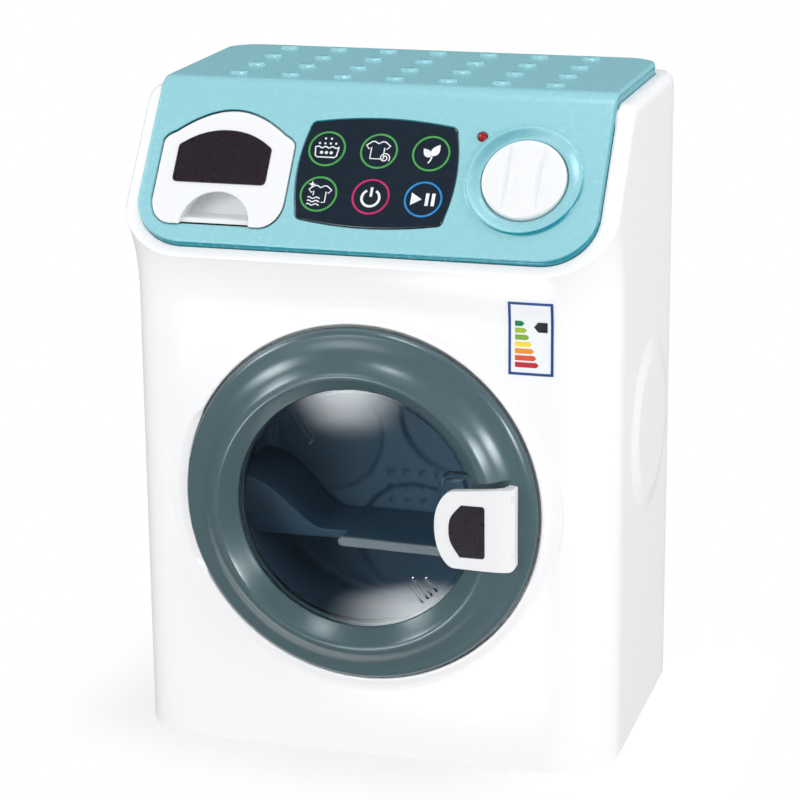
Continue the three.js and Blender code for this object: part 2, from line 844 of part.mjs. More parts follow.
function tubPosts() {
  return tubPostPlaces.map(([x, z]) => {
    const post = rodAlongY(tubPostRadius, front + overlap, front + tubPostLength, x, z, postSegments);
    const hole = rodAlongY(screwShankRadius + restGap, front + 3, front + 20, x, z, holeSegments);
    return post.subtract(hole);
  });
}

function rearCover() {
  const hull = casingHull();
  const seam = coverSeam + restGap / 2;
  const rearPart = box(-casingWidth, casingWidth, seam, casingDepth, -1, 2 * panelTopHeight);
  const tongueOuter = casingSolid(casingWall + restGap, panelBandDepth + restGap, back - casingWall);
  const tongueInner = casingSolid(
    casingWall + restGap + tongueThickness,
    panelBandDepth + restGap + tongueThickness,
    back,
  );
  const tongueSpan = box(
    -halfWidth,
    halfWidth,
    coverSeam - tongueLength,
    coverSeam + 3,
    0,
    shoulderHeight,
  );
  const tongueRoot = casingSolid(casingWall - overlap, panelBandDepth - overlap, back - casingWall)
    .subtract(tongueInner)
    .intersect(box(-halfWidth, halfWidth, coverSeam + 1, coverSeam + 3, 0, shoulderHeight));
  const tongue = tongueOuter.subtract(tongueInner).intersect(tongueSpan).add(tongueRoot);
  const closed = hull.intersect(rearPart).add(tongue).subtract(panelRoom(ledgeWidth, panelBandDepth + 6));
  return subtractAll(closed.add(batteryBay()), [
    ...coverScrewHoles(),
    ...speakerGrille(),
    batteryBayRoom(),
  ]);
}

function coverScrewHoles() {
  return coverScrewPlaces.flatMap(([x, z]) => [
    rodAlongY(screwShankRadius + restGap, back - 5, back + 1, x, z, holeSegments),
    rodAlongY(screwHeadRadius + restGap, back - 1, back + 1, x, z, postSegments),
  ]);
}

function speakerGrille() {
  const slots = [];
  for (let i = 0; i < grilleSlots; i += 1) {
    const x = (i - (grilleSlots - 1) / 2) * grillePitch;
    const half = Math.sqrt((speakerRadius - 1.5) ** 2 - x * x);
    const slot = roundedRectangle(
      speakerAcross + x - grilleSlotWidth / 2,
      speakerAcross + x + grilleSlotWidth / 2,
      speakerHeight - half,
      speakerHeight + half,
      grilleSlotWidth / 2 - 0.01,
    );
    slots.push(plateAlongY(slot, back - casingWall - 1, back + 1, 1));
  }
  return slots;
}

// Battery bay in the rear cover
const batteryBayHigh = batteryBayLow + batteryBayTall;
const batteryScrewHeight = batteryBayHigh + batteryTabHeight / 2;

function batteryBay() {
  const wall = batteryBayWall;
  const bay = box(
    -batteryBayWidth / 2 - wall,
    batteryBayWidth / 2 + wall,
    back - batteryBayDepth - wall,
    back - casingWall / 2,
    batteryBayLow - wall,
    batteryBayHigh + wall,
  );
  const rebateBack = box(
    -batteryBayWidth / 2 - batteryDoorMargin - wall,
    batteryBayWidth / 2 + batteryDoorMargin + wall,
    back - batteryDoorThickness - wall,
    back - casingWall / 2,
    batteryBayLow - batteryDoorMargin - wall,
    batteryBayHigh + batteryTabHeight + wall,
  );
  const screwPost = rodAlongY(3, back - 9, back - 3, 0, batteryScrewHeight, postSegments);
  return union([bay, rebateBack, screwPost]);
}

function batteryBayRoom() {
  const half = batteryBayWidth / 2;
  const floor = back - batteryDoorThickness;
  const room = box(-half, half, back - batteryBayDepth, back + 1, batteryBayLow, batteryBayHigh);
  const rebate = box(
    -half - batteryDoorMargin,
    half + batteryDoorMargin,
    floor,
    back + 1,
    batteryBayLow - batteryDoorMargin,
    batteryBayHigh + batteryDoorMargin,
  );
  const tabRoom = box(
    -batteryTabHalf - slideGap,
    batteryTabHalf + slideGap,
    floor,
    back + 1,
    batteryBayHigh,
    batteryBayHigh + batteryTabHeight,
  );
  const holeRadius = screwShankRadius + restGap;
  const screwHole = rodAlongY(holeRadius, back - 8, back, 0, batteryScrewHeight, holeSegments);
  return union([room, rebate, tabRoom, screwHole]);
}

function batteryHeight(i) {
  return batteryBayLow + 1 + batteryPitch * (i + 0.5);
}

const batteryY = back - batteryDoorThickness - restGap - batteryRadius - 1;

function buildBatteries() {
  const half = batteryLength / 2;
  for (let i = 0; i < batteryCount; i += 1) {
    const side = i % 2 === 0 ? 1 : -1;
    const z = batteryHeight(i);
    const can = rodAlongX(batteryRadius, 1 - half, half - 1, batteryY, z, discSegments);
    const capEnd = side * (half + 0.6);
    const capLow = Math.min(0, capEnd);
    const capHigh = Math.max(0, capEnd);
    const cap = rodAlongX(batteryCapRadius, capLow, capHigh, batteryY, z, discSegments);
    addPiece(`battery_${i + 1}`, can.add(cap), 'cell');
  }
  const last = batteryCount - 1;
  addPiece('battery_contact_1', batteryContact(-1, 0, 0), 'steel');
  addPiece('battery_contact_2', batteryContact(1, 0, 1), 'steel');
  addPiece('battery_contact_3', batteryContact(-1, 1, last), 'steel');
  addPiece('battery_contact_4', batteryContact(1, last, last), 'steel');
}

// A sprung plate at one end of the bay that bridges the cells from the first to the last.
function batteryContact(side, first, last) {
  const wallX = side * (batteryBayWidth / 2 - restGap);
  const faceX = wallX - side * contactThickness;
  const plate = box(
    Math.min(wallX, faceX),
    Math.max(wallX, faceX),
    batteryY - contactHalf,
    batteryY + contactHalf,
    batteryHeight(first) - contactHalf,
    batteryHeight(last) + contactHalf,
  );
  const root = faceX + (side * contactThickness) / 2;
  const tip = side * (batteryLength / 2 + 1);
  const studLow = Math.min(tip, root);
  const studHigh = Math.max(tip, root);
  const studs = [];
  for (let i = first; i <= last; i += 1) {
    studs.push(rodAlongX(contactStudRadius, studLow, studHigh, batteryY, batteryHeight(i), postSegments));
  }
  return union([plate, ...studs]);
}

function buildBatteryCover() {
  const inset = batteryDoorMargin - slideGap;
  const half = batteryBayWidth / 2 + inset;
  const low = batteryBayLow - inset;
  const inside = back - batteryDoorThickness + restGap;
  const plate = plateAlongY(roundedRectangle(-half, half, low, batteryBayHigh + inset, 2), inside, back, 2);
  const tabTop = batteryBayHigh + batteryTabHeight - slideGap;
  const tab = box(-batteryTabHalf, batteryTabHalf, inside, back, batteryBayHigh, tabTop);
  const ribs = [];
  for (let i = 0; i < batteryRibs; i += 1) {
    const ribLow = low + (2 + i) * batteryRibPitch;
    ribs.push(box(-2 * batteryTabHalf, 2 * batteryTabHalf, back - overlap, back + 0.6, ribLow, ribLow + 1.4));
  }
  const hole = rodAlongY(screwShankRadius + restGap, back - 5, back + 2, 0, batteryScrewHeight, holeSegments);
  addPiece('battery_cover', union([plate, tab, ...ribs]).subtract(hole), 'white');
  addPiece('battery_screw', screw(0, batteryScrewHeight, back + restGap, 6), 'steel');
}

// Control panel

function drawerOutline(margin) {
  const cos = Math.cos(panelTilt);
  const level = (up) => panelFootHeight + up * cos;
  const left = drawerAcross - drawerWidth / 2 - margin;
  const right = drawerAcross + drawerWidth / 2 + margin;
  const low = level(drawerLow) - margin;
  const shoulder = level(drawerShoulder) + margin;
  const apex = level(drawerApex) + margin;
  const radius = drawerCornerRadius + margin;
  const shape = new THREE.Shape();
  shape.moveTo(left + radius, low);
  shape.lineTo(right - radius, low);
  shape.absarc(right - radius, low + radius, radius, -Math.PI / 2, 0);
  shape.lineTo(right, shoulder - 2);
  shape.quadraticCurveTo(right, shoulder, right - 4, shoulder + 1.4);
  shape.quadraticCurveTo(drawerAcross + drawerWidth / 5, apex, drawerAcross, apex);
  shape.quadraticCurveTo(drawerAcross - drawerWidth / 5, apex, left + 4, shoulder + 1.4);
  shape.quadraticCurveTo(left, shoulder, left, shoulder - 2);
  shape.lineTo(left, low + radius);
  shape.absarc(left + radius, low + radius, radius, Math.PI, 1.5 * Math.PI);
  return shape;
}

function overlayShape(margin) {
  const halfW = overlayHalfWidth + margin;
  const halfH = overlayHalfHeight + margin;
  const r = overlayCornerRadius + margin;
  const shape = new THREE.Shape();
  const x0 = overlayAcross - halfW;
  const x1 = overlayAcross + halfW;
  const y0 = overlayUp - halfH;
  const y1 = overlayUp + halfH;
  shape.moveTo(x0 + r, y0);
  shape.quadraticCurveTo(overlayAcross, y0 - 2 * overlayBulge, x1 - r, y0);
  shape.quadraticCurveTo(x1, y0, x1, y0 + r);
  shape.quadraticCurveTo(x1 + 2 * overlayBulge, overlayUp, x1, y1 - r);
  shape.quadraticCurveTo(x1, y1, x1 - r, y1);
  shape.quadraticCurveTo(overlayAcross, y1 + 2 * overlayBulge, x0 + r, y1);
  shape.quadraticCurveTo(x0, y1, x0, y1 - r);
  shape.quadraticCurveTo(x0 - 2 * overlayBulge, overlayUp, x0, y0 + r);
  shape.quadraticCurveTo(x0, y0, x0 + r, y0);
  return shape;
}

function panelPlate(shape, low, high, curveSegments = 6) {
  const depth = high - low;
  const geometry = new THREE.ExtrudeGeometry(shape, { depth, bevelEnabled: false, curveSegments });
  geometry.translate(0, 0, low);
  return solidOf(geometry);
}

function gripBump(column, row) {
  const x = (column - (bumpColumns - 1) / 2) * bumpPitchX;
  const y = foldY + bumpFirstBehindFold + row * bumpPitchY;
  const ring = (scale, z) => [
    [x - (scale * bumpLength) / 2, y, z],
    [x, y - (scale * bumpWidth) / 2, z],
    [x + (scale * bumpLength) / 2, y, z],
    [x, y + (scale * bumpWidth) / 2, z],
  ];
  return ringStack([
    ring(1.1, panelTopHeight - overlap),
    ring(1.1, panelTopHeight),
    ring(0.7, panelTopHeight + bumpRise),
  ]);
}

// A closed mesh through rings of points that turn anticlockwise seen from the last ring.
function ringStack(rings) {
  const count = rings[0].length;
  const positions = rings.flat(2);
  const index = [];
  for (let i = 0; i + 1 < rings.length; i += 1) {
    for (let j = 0; j < count; j += 1) {
      const a = i * count + j;
      const b = i * count + ((j + 1) % count);
      index.push(a, b, b + count, a, b + count, a + count);
    }
  }
  for (let j = 1; j + 1 < count; j += 1) {
    const last = (rings.length - 1) * count;
    index.push(0, j + 1, j);
    index.push(last, last + j, last + j + 1);
  }
  const geometry = new THREE.BufferGeometry();
  geometry.setAttribute('position', new THREE.Float32BufferAttribute(positions, 3));
  geometry.setIndex(index);
  return outward(geometry);
}

const boardScrewPlaces = [
  [boardLeft + boardScrewInset, boardHigh - boardScrewInset],
  [boardRight - boardScrewInset, boardLow + boardScrewInset],
];

function controlPanel() {
  const plate = panelSolid(0, 0, panelSeatDepth - restGap);
  const hollow = panelSolid(panelSkin + 0.2, panelSkin, panelSeatDepth + 4);
  const bumps = [];
  for (let row = 0; row < bumpRows; row += 1) {
    for (let column = 0; column < bumpColumns; column += 1) {
      bumps.push(gripBump(column, row));
    }
  }
  const dishEdge = knobRadius + slideGap;
  const bossUnder = -panelSkin - 1.4;
  const boss = onPanel(turnedOnPanel([
    [0, bossUnder],
    [bossRadius, bossUnder],
    [bossRadius, bossRise - 0.4],
    [bossRadius - 0.6, bossRise],
    [(bossRadius + dishEdge) / 2, bossRise - 0.8 * bossDishDepth],
    [dishEdge, bossRise - bossDishDepth],
    [dishEdge, -knobSeatDepth],
    [0, -knobSeatDepth],
  ], knobAcross, knobUp, knobSegments));
  const posts = boardScrewPlaces.map(([across, up]) => onPanel(
    panelRod(boardPostRadius, restGap - boardDepth, overlap - panelSkin, across, up, postSegments)
      .subtract(panelRod(screwShankRadius, -boardDepth - 1, -boardDepth + 6, across, up, holeSegments)),
  ));
  const shell = union([plate.subtract(hollow), boss, ...posts, ...bumps]);
  return subtractAll(shell, [
    plateAlongY(drawerOutline(slideGap), 2 * front, foldY + 4, 4),
    onPanel(panelPlate(overlayShape(restGap), overlayProud - overlayThickness - restGap, 5, 4)),
    onPanel(panelRod(dishEdge, -knobSeatDepth, 4, knobAcross, knobUp, knobSegments)),
    onPanel(panelRod(knobStemRadius + runGap, -20, 5, knobAcross, knobUp)),
    onPanel(panelRod(lampRadius + restGap, -20, 5, lampAcross, lampUp, postSegments)),
  ]);
}

function buildPanelFittings(panelGroup) {
  const overlayLow = overlayProud - overlayThickness;
  addPiece('symbol_overlay', panelPlate(overlayShape(0), overlayLow, overlayProud, 4), 'black', panelGroup);
  addPiece('touch_board', touchBoard(), 'board', panelGroup);
  addPiece('indicator_lamp', indicatorLamp(), 'red', panelGroup);
  addPiece('circuit_board', circuitBoard(), 'board', panelGroup);
}

// A thin board under the overlay with one sensing pad for each touch symbol.
function touchBoard() {
  const top = -panelSkin - restGap;
  const sheetTop = top - touchPadThickness;
  const outline = roundedRectangle(
    overlayAcross - overlayHalfWidth,
    overlayAcross + overlayHalfWidth,
    overlayUp - overlayHalfHeight + 1,
    overlayUp + overlayHalfHeight - 1,
    2,
  );
  const sheet = panelPlate(outline, sheetTop - 1, sheetTop, 2);
  const pads = [-1, 0, 1].flatMap((column) => [-0.5, 0.5].map((row) => panelRod(
    touchPadRadius,
    sheetTop - 0.5,
    top,
    overlayAcross + column * touchPadPitchX,
    overlayUp + row * touchPadPitchUp,
    postSegments,
  )));
  return union([sheet, ...pads]);
}

function indicatorLamp() {
  const under = -panelSkin - restGap;
  const flange = lampRadius + 0.4;
  const lens = turnedOnPanel([
    [0, under - 4.5],
    [flange, under - 4.5],
    [flange, under],
    [lampRadius, under],
    [lampRadius, 0.2],
    [0.7 * lampRadius, 1.2],
    [0, 1.6],
  ], lampAcross, lampUp, postSegments);
  const leads = [-0.6, 0.6].map((share) => panelRod(
    0.3,
    restGap - boardDepth,
    under - 4,
    lampAcross + share * lampRadius,
    lampUp,
    holeSegments,
  ));
  return union([lens, ...leads]);
}

function circuitBoard() {
  const under = -boardDepth - boardThickness;
  const outline = roundedRectangle(boardLeft, boardRight, boardLow, boardHigh, 1.5);
  const board = panelPlate(outline, under, -boardDepth, 2);
  const component = (across, up, width, length, tall) => box(
    boardLeft + across,
    boardLeft + across + width,
    boardLow + up,
    boardLow + up + length,
    under - tall,
    under + overlap,
  );
  const chip = component(34, 10, 16, 12, 2.2);
  const capacitors = [12, 26].map((up) => component(10, up, 6, 6, 4));
  const resonator = component(24, 32, 5, 8, 3);
  const socket = component(58, 6, 6, 6, 5);
  const holes = boardScrewPlaces
    .map(([across, up]) => panelRod(screwShankRadius + restGap, under - 1, 0, across, up, holeSegments));
  return subtractAll(union([board, chip, ...capacitors, resonator, socket]), holes);
}

function buildBoardScrews(panelGroup) {
  const under = -boardDepth - boardThickness - restGap;
  boardScrewPlaces.forEach(([across, up], i) => {
    const head = panelRod(screwHeadRadius, under - screwHeadThickness, under, across, up, postSegments);
    const shankRadius = screwShankRadius - restGap;
    const shank = panelRod(shankRadius, under - 0.5, 4 - boardDepth, across, up, holeSegments);
    addPiece(`board_screw_${i + 1}`, head.add(shank), 'steel', panelGroup);
  });
}

function buildKnob(panelGroup) {
  const high = knobProud;
  const low = knobProud - knobThickness;
  const disc = turnedOnPanel([
    [0, low],
    [knobRadius, low],
    [knobRadius, high - knobEdge],
    [knobRadius - knobEdge, high],
    [0, high],
  ], knobAcross, knobUp, knobSegments);
  const scoops = [-1, 1].map((side) => {
    const geometry = new THREE.SphereGeometry(1, 10, 6);
    geometry.scale(knobScoopHalfWidth, knobRadius - 3.6, knobScoopDepth + 0.2);
    geometry.translate(knobAcross + side * knobScoopOffset, knobUp, high + 0.2);
    return solidOf(geometry);
  });
  const stemEnd = low - knobStemLength;
  const stem = panelRod(knobStemRadius, stemEnd, low + overlap, knobAcross, knobUp);
  const socket = panelRod(switchShaftRadius + restGap, stemEnd - 1, low + overlap, knobAcross, knobUp);
  addPiece('selector_knob', subtractAll(disc, scoops).add(stem).subtract(socket), 'white', panelGroup);

  const foot = restGap - boardDepth;
  const wiperLow = foot + 2.1;
  const shaft = panelRod(switchShaftRadius, foot + 0.5, low + overlap - restGap, knobAcross, knobUp);
  const flat = box(
    knobAcross + 0.7 * switchShaftRadius,
    knobAcross + 2 * switchShaftRadius,
    knobUp - switchShaftRadius - 1,
    knobUp + switchShaftRadius + 1,
    foot + switchHeight,
    low + 2,
  );
  const wiper = panelRod(wiperRadius, wiperLow, wiperLow + wiperThickness, knobAcross, knobUp, discSegments);
  addPiece('switch_shaft', shaft.subtract(flat).add(wiper), 'acetal', panelGroup);

  const body = panelRod(switchRadius, foot, foot + switchHeight, knobAcross, knobUp, discSegments);
  const roomLow = wiperLow - slideGap;
  const roomHigh = wiperLow + wiperThickness + slideGap;
  const room = panelRod(wiperRadius + slideGap, roomLow, roomHigh, knobAcross, knobUp, discSegments);
  const way = panelRod(switchShaftRadius + runGap, foot - 1, 0, knobAcross, knobUp);
  addPiece('rotary_switch', subtractAll(body, [room, way]), 'grey', panelGroup);
}

// Detergent drawer

function slabBetween(outFront, outBack) {
  const reach = casingWidth + shoulderHeight;
  const geometry = new THREE.BoxGeometry(reach, reach, outFront - outBack);
  geometry.translate(0, panelDrop, (outFront + outBack) / 2);
  return onPanel(solidOf(geometry));
}

const scoopLow = panelFootHeight + drawerLow * Math.cos(panelTilt);
const trayLowZ = scoopLow + drawerFrontThickness;
const trayFrontY = slopePoint(drawerLow, 0).x + 2;
const trayBackY = trayFrontY + trayLength;

function drawerFront() {
  const face = plateAlongY(drawerOutline(0), 2 * front, trayBackY, 4);
  const slab = face.intersect(slabBetween(drawerFrontProud, drawerFrontProud - drawerFrontThickness));
  const scoopTall = scoopRadius * Math.cos(panelTilt);
  const halfRound = (grow, below) => {
    const shape = new THREE.Shape();
    shape.moveTo(drawerAcross - scoopRadius - grow, scoopLow - below);
    shape.lineTo(drawerAcross + scoopRadius + grow, scoopLow - below);
    shape.lineTo(drawerAcross + scoopRadius + grow, scoopLow);
    shape.absellipse(drawerAcross, scoopLow, scoopRadius + grow, scoopTall + grow, 0, Math.PI);
    return shape;
  };
  const cupBack = -scoopDepth - scoopWall;
  const cup = plateAlongY(halfRound(scoopWall, 0), 2 * front, back, 6).intersect(slabBetween(0, cupBack));
  const hollow = plateAlongY(halfRound(0, 2), 2 * front, back, 6).intersect(slabBetween(10, -scoopDepth));
  const floor = face.intersect(slabBetween(-drawerFrontThickness, cupBack)).intersect(box(
    drawerAcross - scoopRadius - 1,
    drawerAcross + scoopRadius + 1,
    2 * front,
    back,
    scoopLow,
    scoopLow + scoopWall,
  ));
  return slab.add(cup).subtract(hollow).add(floor);
}

function drawerTray() {
  const half = trayWidth / 2;
  const high = trayLowZ + trayHeight;
  const faceBack = drawerFrontProud - drawerFrontThickness - restGap;
  const outer = box(drawerAcross - half, drawerAcross + half, footY, trayBackY, trayLowZ, high)
    .intersect(slabBetween(faceBack, -casingWidth));
  const room = box(
    drawerAcross - half + trayWall,
    drawerAcross + half - trayWall,
    footY,
    trayBackY - trayWall,
    trayLowZ + trayWall,
    high + 1,
  ).intersect(slabBetween(-drawerFrontThickness - trayWall, -casingWidth));
  const cupHalf = scoopRadius + scoopWall + slideGap + restGap;
  const cupBack = -scoopDepth - scoopWall - 2 * restGap;
  const scoopRoom = box(
    drawerAcross - cupHalf,
    drawerAcross + cupHalf,
    footY,
    back,
    trayLowZ - 1,
    trayLowZ + scoopRadius,
  ).intersect(slabBetween(10, cupBack));
  const backOfScoop = box(
    drawerAcross - cupHalf - trayWall,
    drawerAcross + cupHalf + trayWall,
    footY,
    back,
    trayLowZ,
    trayLowZ + scoopRadius + trayWall,
  ).intersect(slabBetween(faceBack, cupBack - trayWall));
  const divider = box(
    drawerAcross + dividerOffset,
    drawerAcross + dividerOffset + trayWall,
    trayBackY - dividerLength,
    trayBackY - overlap,
    trayLowZ + overlap,
    high - 5,
  );
  return outer.subtract(room).add(backOfScoop).subtract(scoopRoom).add(divider);
}

function drawerHousing() {
  const half = trayWidth / 2 + slideGap;
  const low = trayLowZ - slideGap;
  const high = trayLowZ + trayHeight + slideGap;
  const start = trayFrontY + housingSetback;
  const end = trayBackY + 3;
  const outer = box(
    drawerAcross - half - housingWall,
    drawerAcross + half + housingWall,
    start,
    end + housingWall,
    low - housingWall,
    high + housingWall,
  );
  const room = box(drawerAcross - half, drawerAcross + half, start - 1, end, low, high);
  const hangerTop = shoulderHeight - panelBandDepth - 2;
  const hangers = [-1, 1].map((side) => box(
    drawerAcross + side * (half - 1) - 2,
    drawerAcross + side * (half - 1) + 2,
    end - 12,
    end - 8,
    high + overlap,
    hangerTop,
  ));
  return union([outer, ...hangers]).subtract(room);
}

// Door

// A radius at a share of the way from the window's edge out to the door's rim.
function acrossRing(share) {
  return windowRadius + share * (doorRadius - windowRadius);
}

const doorCrest = 14.8;
const doorRimInside = doorRadius - 2;
const flangeSeatRadius = windowRadius + 2.8;
const doorProfileOutside = [
  [doorRadius, doorEdgeForward],
  [doorRadius, doorEdgeForward + 2],
  [acrossRing(0.94), 5.4],
  [acrossRing(0.775), 6.6],
  [acrossRing(0.63), 8.6],
  [acrossRing(0.5), 11.6],
  [acrossRing(0.38), doorCrest - 0.8],
  [acrossRing(0.27), doorCrest],
  [acrossRing(0.125), 11.4],
  [windowRadius, 8.1],
];
const doorProfileInside = [
  [windowRadius, windowSeatForward],
  [flangeSeatRadius, windowSeatForward],
  [acrossRing(0.29), doorCrest - 2.4],
  [acrossRing(0.55), 7.5],
  [acrossRing(0.77), 4.4],
  [doorRimInside, 3],
  [doorRimInside, doorEdgeForward],
];

// A screw driven forwards, with the underside of its head at a level y.
function screw(x, z, under, length) {
  const head = rodAlongY(screwHeadRadius, under, under + screwHeadThickness, x, z, postSegments);
  const shank = rodAlongY(screwShankRadius, under - length, under + overlap / 2, x, z, holeSegments);
  return head.add(shank);
}

function fromFront([radius, forward]) {
  return [radius, front - forward];
}

function doorRing() {
  const profile = [...doorProfileOutside, ...doorProfileInside].map(fromFront);
  const ring = turnedAboutY(profile, 0, doorHeight, ringSegments);
  const linerInside = flangeSeatRadius + 2;
  const linerOutside = doorRadius - 3.3;
  const envelope = turnedAboutY([
    [flangeSeatRadius, windowSeatForward],
    [linerInside, windowSeatForward],
    [linerInside, 5.4],
    [linerOutside, 5.4],
    ...doorProfileOutside.slice(3, 8),
  ].map(fromFront), 0, doorHeight, ringSegments);
  const half = handleRightHalf + slideGap;
  const liner = box(
    windowRadius + 1,
    handleRight + 2,
    front - doorCrest,
    front - handlePocketFloor + 1.8,
    doorHeight - half - 1.6,
    doorHeight + half + 1.6,
  ).intersect(envelope);
  const pocket = box(
    0,
    handleRight + slideGap,
    front - 2 * doorCrest,
    front - handlePocketFloor,
    doorHeight - half,
    doorHeight + half,
  );
  const bossHoles = handleBossPlaces
    .map(([x, z]) => rodAlongY(handleBossRadius + restGap, front - doorCrest, front, x, z, postSegments));
  return subtractAll(ring.add(liner), [pocket, ...bossHoles, lugRoom()]);
}

// The notch that clears the two hinge lugs and the knuckle between them.
function lugRoom() {
  return box(
    -hingeLeft - hingeBarrelRadius - slideGap,
    -hingeLeft + hingeBarrelRadius + hingeLegThickness + slideGap,
    front - hingeForward - hingeBarrelRadius - runGap,
    front,
    doorHeight - hingeOuterHalf - slideGap,
    doorHeight + hingeOuterHalf + slideGap,
  );
}

function doorBackRing() {
  const clamp = windowSeatForward - windowFlangeThickness - 2 * restGap;
  const inside = windowRadius - 0.8;
  const step = windowFlangeRadius + windowSkin;
  const outside = doorRadius - 3.7;
  const plate = turnedAboutY([
    [inside, backRingForward],
    [outside, backRingForward],
    [outside, backRingForward + 1.6],
    [step, backRingForward + 1.9],
    [step, clamp],
    [inside, clamp],
  ].map(fromFront), 0, doorHeight, ringSegments);
  const knuckleReach = hingeInnerHalf - runGap / 2;
  const knuckle = rodAlongZ(
    hingeBarrelRadius,
    doorHeight - knuckleReach,
    doorHeight + knuckleReach,
    -hingeLeft,
    front - hingeForward,
  );
  const arm = box(
    -hingeLeft,
    -hingeLeft + 2 * hingeBarrelRadius + hingeLegThickness,
    front - backRingForward - 1.9,
    front - backRingForward,
    doorHeight - knuckleReach,
    doorHeight + knuckleReach,
  );
  const cupRoomHalf = fingerCupHalf + 1.8;
  const cupRoom = box(
    fingerCupLeft - 2,
    windowRadius + 1.6,
    front - windowSeatForward,
    front,
    doorHeight - cupRoomHalf,
    doorHeight + cupRoomHalf,
  );
  const holes = [...doorScrewPlaces, ...handleBossPlaces]
    .map(([x, z]) => rodAlongY(screwShankRadius + restGap, front - 8, front, x, z, holeSegments));
  return subtractAll(plate.subtract(lugRoom()).add(knuckle).add(arm).add(snapTongue()), [
    hingeBore(),
    cupRoom,
    ...holes,
  ]);
}

// A springy tongue on the back of the door. Its bead snaps past the edge of the door opening.
function snapTongue() {
  const openingFlat = doorOpeningRadius * Math.cos(Math.PI / ringSegments);
  const edge = Math.sqrt(openingFlat ** 2 - snapHalfHeight ** 2) - restGap;
  const root = front - backRingForward - overlap;
  const bead = front + snapReach;
  const section = new THREE.Shape();
  section.moveTo(edge - 3, root);
  section.lineTo(edge - 3, bead);
  section.lineTo(edge - 1.6, bead + 1);
  section.lineTo(edge - 0.5, bead + 0.4);
  section.lineTo(edge, bead - 0.8);
  section.lineTo(edge - 0.8, bead - 2);
  section.lineTo(edge - 1.2, root);
  return plateAlongZ(section, doorHeight - snapHalfHeight, doorHeight + snapHalfHeight);
}

const handleBossPlaces = [-1, 1].map((side) => [handleBossAcross, doorHeight + side * handleBossOffset]);
const doorScrewCircle = acrossRing(0.58);
const fingerCupLeft = handleLeft - 1.2;
const doorScrewPlaces = [90, 145, 215].map(THREE.MathUtils.degToRad)
  .map((angle) => [doorScrewCircle * Math.cos(angle), doorHeight + doorScrewCircle * Math.sin(angle)]);

function doorWindow() {
  const seat = windowSeatForward - restGap;
  const flangeBack = seat - windowFlangeThickness;
  const rim = windowRadius - restGap;
  const rimInside = windowRadius - 2;
  const crowns = [[0, windowCrown], [0.4 * rim, windowCrown - 0.5], [0.75 * rim, windowCrown - 1.6]];
  const face = [...crowns, [rim, windowCrown - 3]];
  const under = [...crowns].reverse().map(([radius, forward]) => [radius, forward - windowSkin]);
  const dome = turnedAboutY([
    ...face,
    [rim, seat],
    [windowFlangeRadius, seat],
    [windowFlangeRadius, flangeBack],
    [rimInside, flangeBack],
    [rimInside, seat],
    ...under,
  ].map(fromFront), 0, doorHeight, ringSegments);
  const cupBack = front - fingerCupForward;
  const span = windowRadius + 5.6;
  const cupHalf = fingerCupHalf;
  const cupFace = turnedAboutY([...face, [rim, 1], [0, 1]].map(fromFront), 0, doorHeight, ringSegments);
  const cup = plateAlongY(
    roundedRectangle(fingerCupLeft, span, doorHeight - cupHalf, doorHeight + cupHalf, 3),
    front - 12,
    cupBack,
    2,
  ).intersect(cupFace);
  const roomHalf = cupHalf - fingerCupWall;
  const roomEnd = windowRadius - 2.8;
  const room = plateAlongY(
    roundedRectangle(fingerCupLeft + fingerCupWall, span, doorHeight - roomHalf, doorHeight + roomHalf, 2),
    front - 12,
    cupBack - fingerCupWall,
    2,
  ).intersect(rodAlongY(roomEnd, front - 12, front - 1, 0, doorHeight, ringSegments));
  return union([dome, cup, ...windowRibs()]).subtract(room);
}

// Three short U-shaped ribs moulded on the inside of the window.
function windowRibs() {
  const outer = windowRadius - 3.4;
  const half = 1.7;
  const bar = 0.8;
  return [[124, 10.5], [-51.5, 9.4], [-45, 6.4]].map(([degrees, length]) => {
    const inner = outer - length;
    const loop = new THREE.Shape();
    loop.moveTo(inner, -half);
    loop.lineTo(outer, -half);
    loop.lineTo(outer, bar - half);
    loop.lineTo(inner + bar, bar - half);
    loop.lineTo(inner + bar, half - bar);
    loop.lineTo(outer, half - bar);
    loop.lineTo(outer, half);
    loop.lineTo(inner, half);
    const ribFront = front - windowCrown + 2.6;
    const geometry = geometryOf(plateAlongY(loop, ribFront, ribFront + 2.6));
    geometry.rotateY(-THREE.MathUtils.degToRad(degrees));
    geometry.translate(0, 0, doorHeight);
    return solidOf(geometry);
  });
}

function handleOutline() {
  const right = handleRight;
  const shape = new THREE.Shape();
  shape.moveTo(handleLeft + 6, doorHeight - handleLeftHalf);
  shape.lineTo(right - 5, doorHeight - handleRightHalf);
  shape.quadraticCurveTo(right, doorHeight - handleRightHalf, right, doorHeight - handleRightHalf + 3.4);
  shape.lineTo(right, doorHeight + handleRightHalf);
  shape.lineTo(handleLeft + 6, doorHeight + handleLeftHalf);
  shape.bezierCurveTo(
    handleLeft + 1,
    doorHeight + handleLeftHalf - 3,
    handleLeft,
    doorHeight + handleLeftHalf / 2,
    handleLeft,
    doorHeight,
  );
  shape.bezierCurveTo(
    handleLeft,
    doorHeight - handleLeftHalf / 2,
    handleLeft + 1,
    doorHeight - handleLeftHalf + 3,
    handleLeft + 6,
    doorHeight - handleLeftHalf,
  );
  return shape;
}

